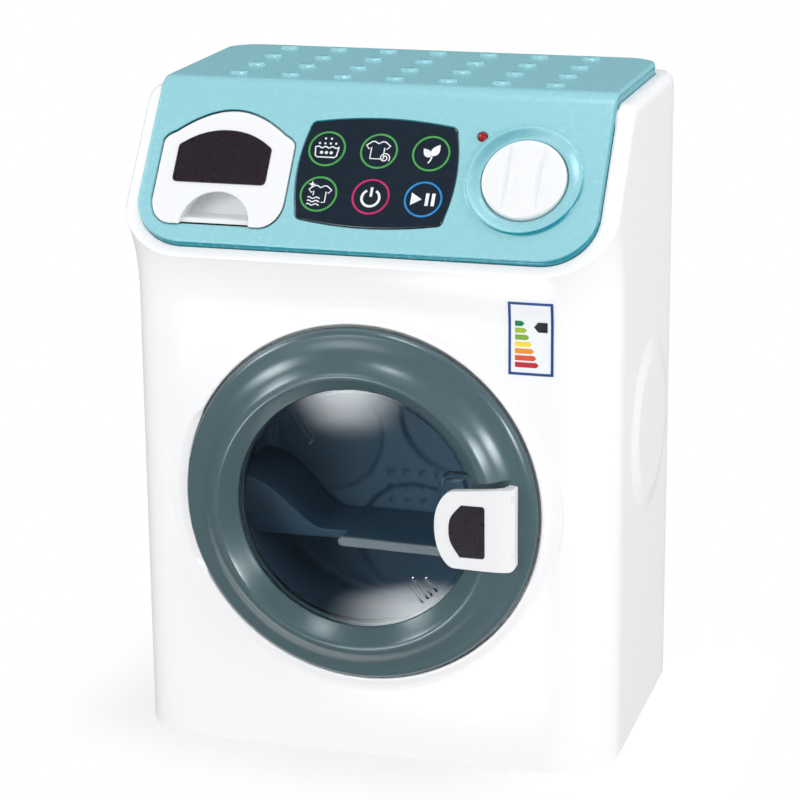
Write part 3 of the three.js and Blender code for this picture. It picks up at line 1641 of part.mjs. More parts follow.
// The handle's section in x and forward, drawn once and extruded upwards.
function handleSection() {
  const inner = handleRight - 3;
  const underside = handleFace - handleThickness;
  const points = [
    [handleLeft, underside + 0.2],
    [handleLeft, handleFace - 1],
    [handleLeft + 1, handleFace - 0.2],
    [handleLeft + 3, handleFace],
    [handleRight - 10, handleFace],
    [handleRight - 6, handleFace - 0.5],
    [handleRight - 3, handleFace - 2.2],
    [handleRight - 1, handleFace - 4.6],
    [handleRight, handleFace - 7.6],
    [handleRight, handlePocketFloor + restGap],
    [inner, handlePocketFloor + restGap],
    [inner - 0.6, underside - 1.6],
    [inner - 3, underside],
    [handleLeft + 2, underside],
  ];
  return new THREE.Shape(points.map(([x, forward]) => new THREE.Vector2(x, front - forward)));
}

function doorHandle() {
  const halfHeight = handleRightHalf + 1;
  const grip = plateAlongZ(handleSection(), doorHeight - halfHeight, doorHeight + halfHeight)
    .intersect(plateAlongY(handleOutline(), front - 2 * handleFace, front, 5));
  const bosses = handleBossPlaces.map(([x, z]) => rodAlongY(
    handleBossRadius,
    front - handleFace + handleThickness,
    front - backRingForward - 1.9 - restGap,
    x,
    z,
    postSegments,
  ));
  const holes = handleBossPlaces
    .map(([x, z]) => rodAlongY(screwShankRadius + 0.1, front - 10, front, x, z, holeSegments));
  const labelSeat = plateAlongY(handleLabelShape(restGap), front - handleFace - 1, handleLabelFloor, 4);
  return subtractAll(union([grip, ...bosses]), [...holes, labelSeat]);
}

const handleLabelFloor = front - handleFace + stickerThickness + 0.05;

function handleLabelShape(margin) {
  const x0 = handleLeft + 5 - margin;
  const x1 = handleRight - 11.6 + margin;
  const high = doorHeight + handleLeftHalf - 6.4 + margin;
  const low = doorHeight - handleLeftHalf + 2.8 - margin;
  const middle = (low + high) / 2;
  const bow = 4;
  const corner = 0.8;
  const shape = new THREE.Shape();
  shape.moveTo(x0 + bow, low);
  shape.lineTo(x1 - corner, low);
  shape.lineTo(x1, low + corner);
  shape.lineTo(x1, high - corner);
  shape.lineTo(x1 - corner, high);
  shape.lineTo(x0 + bow, high);
  shape.quadraticCurveTo(x0, middle + bow, x0, middle);
  shape.quadraticCurveTo(x0, middle - bow, x0 + bow, low);
  return shape;
}

function buildDoor() {
  addPiece('door_ring', doorRing(), 'slate');
  addPiece('door_window', doorWindow(), 'clear');
  addPiece('door_back_ring', doorBackRing(), 'slate');
  addPiece('door_handle', doorHandle(), 'white');
  const labelBack = handleLabelFloor - restGap;
  const label = plateAlongY(handleLabelShape(0), labelBack - stickerThickness, labelBack, 4);
  addPiece('handle_label', label, 'plum');
  addPiece('hinge_pin', rodAlongZ(
    hingePinRadius,
    doorHeight - hingeOuterHalf,
    doorHeight + hingeOuterHalf,
    -hingeLeft,
    front - hingeForward,
    postSegments,
  ), 'steel');
  const face = front - backRingForward + restGap;
  [...doorScrewPlaces, ...handleBossPlaces].forEach(([x, z], i) => {
    addPiece(`door_screw_${i + 1}`, screw(x, z, face, 4), 'steel');
  });
}

// Tub and drum

const tubFront = front + doorSeatThickness + restGap;
const tubBack = front + tubDepth;
const tubFloor = tubBack - tubWall;

function tub() {
  const wall = turnedAboutY([
    [tubInnerRadius, tubFront],
    [tubFlangeRadius, tubFront],
    [tubFlangeRadius, tubFront + tubWall],
    [tubInnerRadius + tubWall, tubFront + tubWall],
    [tubInnerRadius + tubWall, tubBack],
    [0, tubBack],
    [0, tubFloor],
    [tubInnerRadius, tubFloor],
    [tubInnerRadius, tubFront],
  ], 0, doorHeight, ringSegments);
  const earFront = front + tubPostLength + restGap;
  const earBack = earFront + tubEarThickness;
  const ears = tubPostPlaces.map(([x, z], i) => {
    const ear = rodAlongY(tubPostRadius + 1.4, earFront, earBack, x, z, postSegments);
    const arm = geometryOf(box(-4, 4, earFront, earBack, tubInnerRadius + 0.5, tubPostCircle));
    arm.rotateY(Math.PI / 2 - tubPostAngles[i]);
    arm.translate(0, 0, doorHeight);
    const hole = rodAlongY(screwShankRadius + restGap, earFront - 1, earBack + 1, x, z, holeSegments);
    return ear.add(solidOf(arm)).subtract(hole);
  });
  const earRoom = tubPostPlaces
    .map(([x, z]) => rodAlongY(tubPostRadius + restGap, tubFront - 1, earFront, x, z, postSegments));
  const posts = gearPlatePosts.map(([x, z]) => {
    const post = rodAlongY(gearPostRadius, tubBack - overlap, gearPlateY - restGap, x, z, postSegments);
    const pilot = rodAlongY(screwShankRadius, gearPlateY - 8, gearPlateY, x, z, holeSegments);
    return post.subtract(pilot).add(postWeb([x, z]));
  });
  const bushHole = rodAlongY(bushRadius + restGap, tubFloor - 1, tubBack + 1, 0, doorHeight, discSegments);
  const seat = tubBack - gearPinSeat;
  const pinHoles = [idlerCentre, reductionCentre]
    .map(([x, z]) => rodAlongY(gearPinRadius + restGap, seat, tubBack + 1, x, z, postSegments));
  return subtractAll(union([subtractAll(wall, earRoom), ...ears, ...posts]), [bushHole, ...pinHoles]);
}

// A strip in the tub's back that a post of the gear plate stands on.
function postWeb([x, z]) {
  const reach = Math.hypot(x, z - doorHeight);
  const strip = geometryOf(box(reach / 2, reach, tubBack - overlap, tubBack, -1, 1));
  strip.rotateY(-Math.atan2(z - doorHeight, x));
  strip.translate(0, 0, doorHeight);
  return solidOf(strip);
}

function drum() {
  const inner = drumInnerRadius;
  const mouth = front + drumMouth;
  const floor = front + drumFloor;
  const backFace = floor + drumFloorThickness;
  const cup = turnedAboutY([
    [0, floor],
    [inner - drumFloorRound, floor],
    [inner, floor - drumFloorRound],
    [inner, mouth + 1],
    [inner - 1.2, mouth],
    [drumOuterRadius, mouth],
    [drumOuterRadius, backFace - 2],
    [drumOuterRadius - 2, backFace],
    [0, backFace],
  ], 0, doorHeight, ringSegments);
  const dishOffset = inner - dishRadius - overlap;
  const dishes = [0, 1, 2].map((i) => {
    const angle = dishFirstAngle + (i * 2 * Math.PI) / 3;
    return turnedAboutY([
      [0, floor - 1],
      [dishRadius, floor - 1],
      [dishRadius, floor],
      [dishRadius - dishSlope, floor + dishDepth],
      [0, floor + dishDepth],
    ], dishOffset * Math.cos(angle), doorHeight + dishOffset * Math.sin(angle), discSegments);
  });
  const rimKeep = turnedAboutY([
    [inner - 2, floor - 1],
    [drumOuterRadius, floor - 1],
    [drumOuterRadius, backFace],
    [inner - 2, backFace],
  ], 0, doorHeight, ringSegments);
  const hub = rodAlongY(axleRadius + 4.5, backFace - overlap, backFace + 0.8, 0, doorHeight, discSegments);
  const bore = rodAlongY(axleRadius + restGap, floor + 1, backFace + 4, 0, doorHeight);
  return subtractAll(cup.add(hub), [...dishes.map((dish) => dish.subtract(rimKeep)), bore]);
}

// A shelf across the drum whose left end sweeps up to the drum's wall in an S.
function paddle() {
  const inner = drumInnerRadius - restGap;
  const low = -paddleDrop - paddleThickness / 2;
  const high = paddleThickness / 2 - paddleDrop;
  const halfHigh = Math.sqrt(inner * inner - high * high);
  const halfLow = Math.sqrt(inner * inner - low * low);
  const tipAngle = THREE.MathUtils.degToRad(176);
  const cornerAngle = 2 * Math.PI + Math.atan2(low, -halfLow);
  const tip = new THREE.Vector2(inner * Math.cos(tipAngle), inner * Math.sin(tipAngle));
  const shape = new THREE.Shape();
  shape.moveTo(halfHigh, high);
  shape.lineTo(-0.38 * inner, high);
  shape.bezierCurveTo(-0.55 * inner, high, -0.69 * inner, tip.y, tip.x, tip.y);
  shape.absarc(0, 0, inner, tipAngle, cornerAngle, false);
  shape.lineTo(halfLow, low);
  const floor = front + drumFloor - restGap;
  const room = turnedAboutY([
    [0, front + drumMouth],
    [inner, front + drumMouth],
    [inner, floor - drumFloorRound - 0.4],
    [inner - drumFloorRound - 0.4, floor],
    [0, floor],
  ], 0, doorHeight, ringSegments);
  const geometry = geometryOf(plateAlongY(shape, front + drumMouth + 2, floor, 5));
  geometry.translate(0, 0, doorHeight);
  return solidOf(geometry).intersect(room);
}

// Gears: an outline of teeth with curved flanks, drawn about the origin in x and z

function gearShape(teeth, phase) {
  const pitchRadius = (gearModule * teeth) / 2;
  const rootRadius = pitchRadius - 1.2 * gearModule;
  const tipRadius = pitchRadius + 0.9 * gearModule;
  const pitchAngle = (2 * Math.PI) / teeth;
  const corners = [
    [rootRadius, -0.29],
    [tipRadius, -0.11],
    [tipRadius, 0.11],
    [rootRadius, 0.29],
  ];
  const shape = new THREE.Shape();
  for (let i = 0; i < teeth; i += 1) {
    corners.forEach(([radius, share], k) => {
      const angle = phase + (i + share) * pitchAngle;
      const x = radius * Math.cos(angle);
      const z = radius * Math.sin(angle);
      if (i === 0 && k === 0) {
        shape.moveTo(x, z);
      } else {
        shape.lineTo(x, z);
      }
    });
  }
  return shape;
}

function gearAt(teeth, phase, [x, z], y0, y1) {
  const geometry = geometryOf(plateAlongY(gearShape(teeth, phase), y0, y1));
  geometry.translate(x, 0, z);
  return solidOf(geometry);
}

function centreFrom([x, z], teethA, teethB, angle) {
  const distance = (gearModule * (teethA + teethB)) / 2;
  return [x + distance * Math.cos(angle), z + distance * Math.sin(angle)];
}

function placeFrom([x, z], distance, degrees) {
  const angle = THREE.MathUtils.degToRad(degrees);
  return [x + distance * Math.cos(angle), z + distance * Math.sin(angle)];
}

// The phase that puts a gap of the second gear on the tooth of the first where they meet.
function meshingPhase(teethA, phaseA, teethB, angle) {
  const share = ((angle - phaseA) * teethA) / (2 * Math.PI);
  return angle + Math.PI - ((0.5 - share) * 2 * Math.PI) / teethB;
}

const drumGearCentre = [0, doorHeight];
const idlerCentre = centreFrom(drumGearCentre, drumGearTeeth, smallTeeth, idlerAngle);
const reductionCentre = centreFrom(idlerCentre, largeTeeth, smallTeeth, reductionAngle);
const motorCentre = centreFrom(reductionCentre, largeTeeth, pinionTeeth, motorAngle);
const drumGearPhase = 0;
const idlerPhase = meshingPhase(drumGearTeeth, drumGearPhase, smallTeeth, idlerAngle);
const reductionPhase = meshingPhase(largeTeeth, idlerPhase, smallTeeth, reductionAngle);
const pinionPhase = meshingPhase(largeTeeth, reductionPhase, pinionTeeth, motorAngle);
const gearLayerA = tubBack + gearEndGap;
const gearLayerB = gearLayerA + gearLayerPitch;
const gearLayerC = gearLayerB + gearLayerPitch;
const gearPlateY = gearLayerC + gearThickness + gearEndGap;
const largeGearReach = (gearModule * largeTeeth) / 2 + gearModule + gearPostRadius;
const drumGearReach = (gearModule * drumGearTeeth) / 2 + gearModule + gearPostRadius;
const gearPlatePosts = [
  placeFrom(idlerCentre, largeGearReach + idlerPostClear, 206),
  placeFrom(reductionCentre, largeGearReach + reductionPostClear, 172),
  placeFrom(motorCentre, motorWidth / 2 + gearPostRadius + motorPostClear, 14),
  placeFrom(drumGearCentre, drumGearReach + drumPostClear, -13),
];

function buildGearTrain() {
  addPiece('drum_gear', drumGear(), 'acetal');
  addPiece('idler_gear', compoundGear(idlerCentre, idlerPhase, gearLayerA, gearLayerB), 'acetal');
  addPiece('reduction_gear', compoundGear(reductionCentre, reductionPhase, gearLayerB, gearLayerC), 'acetal');

  const [mx, mz] = motorCentre;
  const pinionStart = gearLayerC - 0.6;
  const pinionEnd = gearLayerC + gearThickness + 0.6;
  const pinion = gearAt(pinionTeeth, pinionPhase, motorCentre, pinionStart, pinionEnd);
  const shaftBore = rodAlongY(motorShaftRadius + restGap, gearLayerC - 2, gearPlateY, mx, mz, holeSegments);
  addPiece('motor_pinion', pinion.subtract(shaftBore), 'brass');
  const shaftEnd = gearPlateY + gearPlateThickness + 4;
  const shaft = rodAlongY(motorShaftRadius, gearLayerC - 1.2, shaftEnd, mx, mz, holeSegments);
  addPiece('motor_shaft', shaft, 'steel');

  const pinEnd = gearPlateY + gearPlateThickness - restGap;
  const pinStart = tubBack - gearPinSeat + restGap;
  const pin = (centre) => rodAlongY(gearPinRadius, pinStart, pinEnd, ...centre, postSegments);
  addPiece('idler_pin', pin(idlerCentre), 'steel');
  addPiece('reduction_pin', pin(reductionCentre), 'steel');

  const axleStart = front + drumFloor + 1.4;
  const axleEnd = gearPlateY + gearPlateThickness + 2;
  addPiece('drum_axle', rodAlongY(axleRadius, axleStart, axleEnd, 0, doorHeight), 'steel');
  const axleWay = rodAlongY(axleRadius + runGap, front, back, 0, doorHeight);
  const frontBush = rodAlongY(bushRadius, tubFloor - 0.6, tubBack + 1, 0, doorHeight, discSegments)
    .add(rodAlongY(bushRadius + bushCollar, tubBack + restGap, tubBack + 1.2, 0, doorHeight, discSegments));
  const plateBack = gearPlateY + gearPlateThickness;
  const rearBush = rodAlongY(bushRadius, gearPlateY - 0.8, plateBack, 0, doorHeight, discSegments);
  addPiece('front_axle_bush', frontBush.subtract(axleWay), 'brass');
  addPiece('rear_axle_bush', rearBush.subtract(axleWay), 'brass');
}

// The large gear on the drum's axle, with a hub and five round lightening holes.
function drumGear() {
  const end = gearLayerB + 1;
  const hubRadius = axleRadius + gearHubWall;
  const rootRadius = (gearModule * drumGearTeeth) / 2 - 2 * gearModule;
  const ringRadius = (hubRadius + rootRadius) / 2;
  const holeRadius = (rootRadius - hubRadius) / 2 - gearWebMargin;
  const gear = gearAt(drumGearTeeth, drumGearPhase, drumGearCentre, gearLayerA, gearLayerA + gearThickness)
    .add(rodAlongY(hubRadius, gearLayerA, end, 0, doorHeight, postSegments));
  const holes = [0, 1, 2, 3, 4].map((i) => {
    const [x, z] = placeFrom(drumGearCentre, ringRadius, i * 72);
    return rodAlongY(holeRadius, gearLayerA - 1, end + 1, x, z, postSegments);
  });
  const bore = rodAlongY(axleRadius + restGap, gearLayerA - 1, end + 1, 0, doorHeight);
  return subtractAll(gear, [...holes, bore]);
}

// A large gear with a small one moulded on its front, turning on a fixed pin.
function compoundGear(centre, phase, smallLayer, largeLayer) {
  const small = gearAt(smallTeeth, phase, centre, smallLayer, largeLayer + overlap);
  const large = gearAt(largeTeeth, phase, centre, largeLayer, largeLayer + gearThickness);
  const end = largeLayer + gearThickness + 1;
  const bore = rodAlongY(gearPinRadius + runGap, smallLayer - 1, end, ...centre, postSegments);
  return small.add(large).subtract(bore);
}

function buildGearPlate() {
  const across = gearPlatePosts.map(([x]) => x);
  const heights = gearPlatePosts.map(([, z]) => z);
  const outline = roundedRectangle(
    Math.min(...across) - gearPlateMargin,
    Math.max(...across) + gearPlateMargin,
    Math.min(...heights) - gearPlateMargin,
    Math.max(...heights) + gearPlateMargin,
    gearPlateCorner,
  );
  const plate = plateAlongY(outline, gearPlateY, gearPlateY + gearPlateThickness, 3);
  const end = gearPlateY + 5;
  const hole = (radius, [x, z], segments) => rodAlongY(radius, gearPlateY - 1, end, x, z, segments);
  addPiece('gear_plate', subtractAll(plate, [
    hole(bushRadius + restGap, drumGearCentre, discSegments),
    hole(motorShaftRadius + 2.4, motorCentre, postSegments),
    hole(gearPinRadius + restGap, idlerCentre, postSegments),
    hole(gearPinRadius + restGap, reductionCentre, postSegments),
    ...gearPlatePosts.map((place) => hole(screwShankRadius + restGap, place, holeSegments)),
  ]), 'white');
}

function buildMotor() {
  const [mx, mz] = motorCentre;
  const start = gearPlateY + gearPlateThickness + restGap;
  const end = start + motorLength;
  const can = rodAlongY(motorWidth / 2, start, end, mx, mz, discSegments)
    .intersect(box(mx - motorWidth, mx + motorWidth, start, end, mz - motorFlat / 2, mz + motorFlat / 2));
  const cap = rodAlongY(4, end - overlap, end + 1.6, mx, mz, postSegments);
  const way = rodAlongY(motorShaftRadius + restGap, start - 1, start + 4.6, mx, mz, holeSegments);
  addPiece('drum_motor', can.add(cap).subtract(way), 'steel');

  const innerX = motorWidth / 2 + restGap;
  const innerZ = motorFlat / 2 + restGap;
  const outerX = innerX + bracketWall;
  const outerZ = innerZ + bracketWall;
  const bandStart = start + 6;
  const bandEnd = bandStart + bracketBand;
  const strap = box(mx - outerX, mx + outerX, bandStart, bandEnd, mz - outerZ, mz + outerZ);
  const room = box(mx - innerX, mx + innerX, bandStart - 1, bandEnd + 1, mz - innerZ, mz + innerZ);
  const legs = [[-outerX, -innerX], [innerX, outerX]]
    .map(([x0, x1]) => box(mx + x0, mx + x1, start, bandEnd, mz - 6, mz + 6));
  addPiece('motor_bracket', strap.subtract(room).add(union(legs)), 'white');
}

// Loudspeaker, screws and stickers

function buildLoudspeaker() {
  const face = back - casingWall - restGap;
  const basket = turnedAboutY([
    [0, face - speakerDepth],
    [speakerMagnetRadius, face - speakerDepth],
    [speakerMagnetRadius, face - speakerBasketDepth],
    [speakerMagnetRadius + speakerRim, face - 0.9 * speakerBasketDepth],
    [speakerRadius - speakerRim / 2, face - speakerRim],
    [speakerRadius, face - speakerRim],
    [speakerRadius, face],
    [speakerRadius - speakerRim, face],
    [speakerConeRadius, face - speakerConeDepth],
    [0, face - speakerConeDepth + speakerCapRise],
  ], speakerAcross, speakerHeight, discSegments);
  addPiece('loudspeaker', basket, 'grey');
}

function buildScrews() {
  coverScrewPlaces.forEach(([x, z], i) => {
    addPiece(`casing_screw_${i + 1}`, screw(x, z, back - 1 + restGap, screwLength), 'steel');
  });
}

// A sticker that follows the casing's front face round its upper corner.
function energyLabel() {
  const patch = box(
    energyLabelAcross - energyLabelWidth / 2,
    energyLabelAcross + energyLabelWidth / 2,
    2 * front,
    front + 5,
    energyLabelHeight - energyLabelTall / 2,
    energyLabelHeight + energyLabelTall / 2,
  );
  const face = restGap + stickerThickness;
  return casingSolid(-face, -face, back).subtract(casingSolid(-restGap, -restGap, back)).intersect(patch);
}

function buildStickers(panelGroup) {
  addPiece('energy_label', energyLabel(), 'paper');
  const left = drawerAcross - drawerLabelWidth / 2 - 1;
  const right = left + drawerLabelWidth;
  const middle = (left + right) / 2;
  const low = drawerLow + 16.1;
  const high = low + drawerLabelTall;
  const shoulder = high - 6.5;
  const corner = 2;
  const shape = new THREE.Shape();
  shape.moveTo(left + corner, low);
  shape.lineTo(right - corner, low);
  shape.quadraticCurveTo(right, low, right, low + corner);
  shape.lineTo(right, shoulder);
  shape.quadraticCurveTo(middle + 8, high, middle, high);
  shape.quadraticCurveTo(middle - 8, high, left, shoulder);
  shape.lineTo(left, low + corner);
  shape.quadraticCurveTo(left, low, left + corner, low);
  const face = drawerFrontProud + 0.05;
  addPiece('drawer_label', panelPlate(shape, face, face + stickerThickness, 4), 'plum', panelGroup);
}

// Assembly

const panelGroup = new THREE.Group();
panelGroup.applyMatrix4(panelFrame);
model.add(panelGroup);

addPiece('front_shell', frontShell(), 'white');
addPiece('rear_cover', rearCover(), 'white');
addPiece('control_panel', controlPanel(), 'aqua');
buildPanelFittings(panelGroup);
buildBoardScrews(panelGroup);
buildKnob(panelGroup);
addPiece('drawer_front', drawerFront(), 'white');
addPiece('drawer_tray', drawerTray(), 'white');
addPiece('drawer_housing', drawerHousing(), 'white');
buildDoor();
addPiece('tub', tub(), 'darkSlate');
addPiece('drum', drum(), 'darkSlate');
addPiece('drum_paddle', paddle(), 'darkSlate');
buildGearTrain();
buildGearPlate();
buildMotor();
buildBatteries();
buildBatteryCover();
buildLoudspeaker();
buildScrews();
buildStickers(panelGroup);

export default model;
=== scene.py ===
# Looks for a toy front-loading washing machine with a slanted control panel.
# Every length is in millimetres in the part's own frame, and is scaled to metres where it is used.
# The frame's front faces -Y, and its origin is the middle of the casing's underside.

import math

import bmesh
import bpy
import numpy as np
from mathutils import Matrix, Vector


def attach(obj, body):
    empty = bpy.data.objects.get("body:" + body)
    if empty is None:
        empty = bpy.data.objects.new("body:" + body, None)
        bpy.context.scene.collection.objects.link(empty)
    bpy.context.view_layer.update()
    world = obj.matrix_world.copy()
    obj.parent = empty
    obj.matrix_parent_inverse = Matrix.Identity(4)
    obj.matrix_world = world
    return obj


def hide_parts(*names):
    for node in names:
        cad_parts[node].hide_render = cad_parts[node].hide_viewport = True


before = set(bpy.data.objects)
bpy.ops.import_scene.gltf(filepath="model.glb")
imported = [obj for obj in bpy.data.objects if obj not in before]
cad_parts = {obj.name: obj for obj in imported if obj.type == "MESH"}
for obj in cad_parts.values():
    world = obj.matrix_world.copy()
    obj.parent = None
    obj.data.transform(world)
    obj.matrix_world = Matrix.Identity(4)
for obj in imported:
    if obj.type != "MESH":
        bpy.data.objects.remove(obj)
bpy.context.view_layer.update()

MM = 0.001

# Limits past the casing's surfaces, for what is cut away whole
FAR = 200
ROOM_TOP = 300

# Casing
HALF_WIDTH = 90
FRONT = -58
BACK = 58
SHOULDER_Z = 238
WALL = 2.4
FRONT_CORNER = 24
REAR_CORNER = 10
SHOULDER_RADIUS = 4
FOLD_RADIUS = 9
SEAM_Y = BACK - 12
GAP = 0.3
DISC_Y = 12.5
DISC_Z = 113
DISC_RADIUS = 33
DISC_FLAT_RADIUS = 24
DISC_RISE = 1.2

# Rear cover, with places as across and height, and openings as left, right, low and high
GRILLE = (-44, 176)
GRILLE_RADIUS = 16.5
GRILLE_PITCH = 4.6
BATTERY_BAY = (-33, 33, 9, 63.5)
BAY_TAB = (-6.5, 6.5, 60, 69.2)
COVER_SCREWS = [(side * 76, height) for height in (16, 118, 214) for side in (-1, 1)]
SCREW_HOLE = 3.1

# Control panel
TILT = math.radians(37.5)
FOOT_Y = FRONT - 5.5
FOOT_Z = 190
PANEL_TOP = 242
PANEL_HALF = 84
PANEL_PROUD = 2.6
PANEL_SEAT = 1.6
PANEL_SKIN = 2.2
PANEL_CORNER = 19
PANEL_REAR = BACK - 3
PANEL_REAR_CORNER = 13
PANEL_EDGE = 1.4
LEDGE_WIDTH = 3.5
PANEL_BAND = PANEL_SEAT + 2.4
LIP_REACH = 4
LIP_NOSE = 2
COVE_LOW = FOOT_Z - 25
FOLD_Y = FOOT_Y + (PANEL_TOP - FOOT_Z) * math.tan(TILT)
SLOPE_REACH = 72

# Grip bumps on the panel's top, as spacing and half size across and back, and the first row behind the fold
BUMP_PITCH = (19.7, 19.4)
BUMP_HALF = (3.5, 2.2)
BUMP_START = 12

# Fittings on the panel, as across, up the slope
OVERLAY = (2.7, 30.7)
OVERLAY_HALF = (26.8, 19.1)
OVERLAY_TOP = 0.2
KNOB = (56, 30.8)
KNOB_RADIUS = 15
KNOB_TOP = 1.6
HOLLOW_REACH = 13.1
HOLLOW_HALF = 2.75
HOLLOW_DEPTH = 1.5
HOLLOW_OFFSET = 5.7
BOSS_RADIUS = 20.6
BOSS_RISE = 1.2
DISH_EDGE = 15.5
LAMP = (38.6, 46.8)
LAMP_RADIUS = 1.5
DRAWER_X = -53.5
DRAWER_HALF = 24.5
DRAWER_LOW = 7.4
DRAWER_SHOULDER = 41.5
DRAWER_APEX = 52.2
DRAWER_CORNER = 8
DRAWER_PROUD = 0.4
SCOOP_RADIUS = 13
SCOOP_DEPTH = 9

# Drawer sticker, as left, right, low, shoulder and top
DRAWER_STICKER = (DRAWER_X - 18.5, DRAWER_X + 16.5, 23.5, 39, 44.5)

# Door, with heights measured forward from the casing's front face
DOOR_Z = 97
RECESS_RADIUS = 66.2
OPENING_RADIUS = 54
POCKET_FLOOR = 7.6
WINDOW_RADIUS = 44.4
DOME_RADIUS = 44.1
DOME_INSIDE = 42.4
FLANGE_RADIUS = 48.6
SEAT_RADIUS = 68.6
BACK_RADIUS = 61.6
BACK_INSIDE = 43.6
HANDLE_LEFT = 30.9
HANDLE_RIGHT = 59.2
HANDLE_FACE = 16.4
HANDLE_STICKER = (36.4, 49.4, -11.4, 7.8)
FINGER_CUP = (30.2, 50, -15.2, 15.2)
FINGER_ROOM = (31.6, 50, -13.8, 13.8)
COLLAR_DIP = 26

# Hinge, with its notch as left, right and half height, and its lugs' ends as distances off the door's middle
HINGE_X = -61
HINGE_Y = FRONT - 2.4
HINGE_REACH = 4.87
HINGE_NOTCH = (-63.7, -56.3, 13.5)
BARREL_RADIUS = 2.2
LUG_LOW = 8.3
LUG_HIGH = 13
KNUCKLE_HALF = 7.85

# Energy sticker, as left, right, low and high, with its printed edge, ink and the colours of its arrows
STICKER = (53.8, 69.8, 148.65, 174.95)
STICKER_EDGE = 0.95
INK_LEVELS = (0.3, 0.42)
ARROW_HEIGHT = 1.85
ARROW_PITCH = 2.46
ARROW_GROWTH = 0.85
RATING_COLOURS = {
    "dark_green": (0, 132, 72), "lime": (164, 192, 44), "olive": (126, 166, 38), "yellow": (242, 216, 52),
    "orange": (236, 150, 42), "vermilion": (216, 82, 36), "red": (186, 22, 32),
}

# Drum
DRUM_RADIUS = 54.4
DRUM_WALL = 1.8
DRUM_MOUTH = 9
DRUM_FLOOR = 47
DISH_RADIUS = 22.5
DISH_OFFSET = 29.5
DISH_ANGLE = 41

# Dimples of the drum's floor, as across, height and radius
DIMPLES = [(x, z, 1.7) for x in (-2.8, 3.1, 9, 14.9, 20.8) for z in (-3.4, -9.2, -15)]
DIMPLES += [(x, z, 2.5) for x in (-2.8, 4.1, 11, 17.9, 24.8) for z in (-26, -33)]

# Paddle, whose tip is an angle in degrees round the drum
PADDLE_TOP = -17.4
PADDLE_LOW = -21
PADDLE_RADIUS = DRUM_RADIUS - DRUM_WALL - 0.3
PADDLE_FRONT = DRUM_MOUTH + 2
PADDLE_BACK = DRUM_FLOOR - 0.3
PADDLE_TIP = 176
GUSSET_END = -11

# Strength of the room all round and in reflections, and of the floor on surfaces near it
AMBIENT = 0.72
ROOM_GLOSS = 0.04
FLOOR_BOUNCE = 0.84

# Half the floor's size, and how far from the object it has turned white
FLOOR_HALF = 3000
FLOOR_FADE = 50

# Cards that only reflections see, as middle, half width, half height and strength
GLOW_CARDS = {
    "front card": ((-235, -760, 182), (180, 0, 0), (0, 0, 180), 24),
    "foot card": ((16, -152, 1), (68, 0, 0), (0, 50, 0), 17),
    "high card": ((-500, -1150, 1000), (480, 0, 0), (0, 0, 380), 7),
    "roof card": ((70, -160, 900), (170, 0, 0), (0, 130, 0), 26),
    "left card": ((-860, -340, 720), (0, 330, 0), (0, 0, 330), 18),
    "right card": ((640, -400, 340), (0, 180, 0), (0, 0, 160), 36),
}

# Area lights, as place, width, height and power in watts
LIGHTS = {
    "key": ((-750, -1350, 600), 900, 900, 7.5),
    "fill": ((1300, -200, 350), 900, 900, 7.5),
    "top": ((100, 250, 1500), 1100, 800, 6),
}
LIGHT_AIM = (0, 0, 120)

# Camera, with its azimuth, elevation and roll in degrees
VIEW_TARGET = (14.44, -58, 136.33)
VIEW_DISTANCE = 969.5
VIEW_ANGLES = (16.372, 16.304, -0.553)
LENS = 123.867
SENSOR = 36


# Places

def on_panel(across, up, out):
    """A point on the slanted panel: across, up its slope, and out of its face."""
    return (
        across,
        FOOT_Y + up * math.sin(TILT) - out * math.cos(TILT),
        FOOT_Z + up * math.cos(TILT) + out * math.sin(TILT),
    )


def on_door(across, height, forward):
    return (across, FRONT - forward, DOOR_Z + height)


def on_back(across, height, out):
    return (across, BACK + out, height)


def on_top(across, back, out):
    return (across, back, PANEL_TOP + out)


def slope_point(up, out):
    """The back and height of a point on the panel's slope."""
    return on_panel(0, up, out)[1:]


def slope_up_at(level, out):
    """How far up the slope the plane that lies out from its face reaches a level."""
    return (level - FOOT_Z - out * math.sin(TILT)) / math.cos(TILT)


def along_drawer(across, height, out):
    """A point whose line along Y meets the plane that lies out from the panel's face."""
    return on_panel(across, slope_up_at(height, out), out)


def on_casing_front(across, height, out):
    """A point on the casing's front face, which curves back near its sides and forward to the lip."""
    forward = np.interp(height, *cove_rise())
    return (across, FRONT + corner_drop(HALF_WIDTH - abs(across), FRONT_CORNER) - forward - out, height)


# Outlines

class Outline:
    """A closed outline drawn with lines, arcs and curves."""

    def __init__(self, x, y):
        self.points = [(x, y)]

    def line(self, x, y):
        self.points.append((x, y))
        return self

    def arc(self, x, y, radius, start, end, steps, tall=None):
        """An arc about (x, y) between two angles in degrees, of another radius upwards if tall is given."""
        for k in range(steps + 1):
            angle = math.radians(start + (end - start) * k / steps)
            self.points.append((x + radius * math.cos(angle), y + (tall or radius) * math.sin(angle)))
        return self

    def curve(self, *controls, steps=14):
        """A Bezier curve from the last point through its control points to the last one given."""
        points = [np.array(self.points[-1], float)] + [np.array(c, float) for c in controls]
        for k in range(1, steps + 1):
            t = k / steps
            row = points
            while len(row) > 1:
                row = [(1 - t) * a + t * b for a, b in zip(row, row[1:])]
            self.points.append(tuple(row[0]))
        return self

    def loop(self):
        """The points as an array, without repeats, turning anticlockwise."""
        kept = []
        for p in self.points:
            if not kept or math.dist(p, kept[-1]) > 1e-4:
                kept.append(p)
        if math.dist(kept[0], kept[-1]) < 1e-4:
            kept.pop()
        loop = np.array(kept, float)
        x, y = loop.T
        area = np.dot(x, np.roll(y, -1)) - np.dot(y, np.roll(x, -1))
        return loop if area > 0 else loop[::-1]


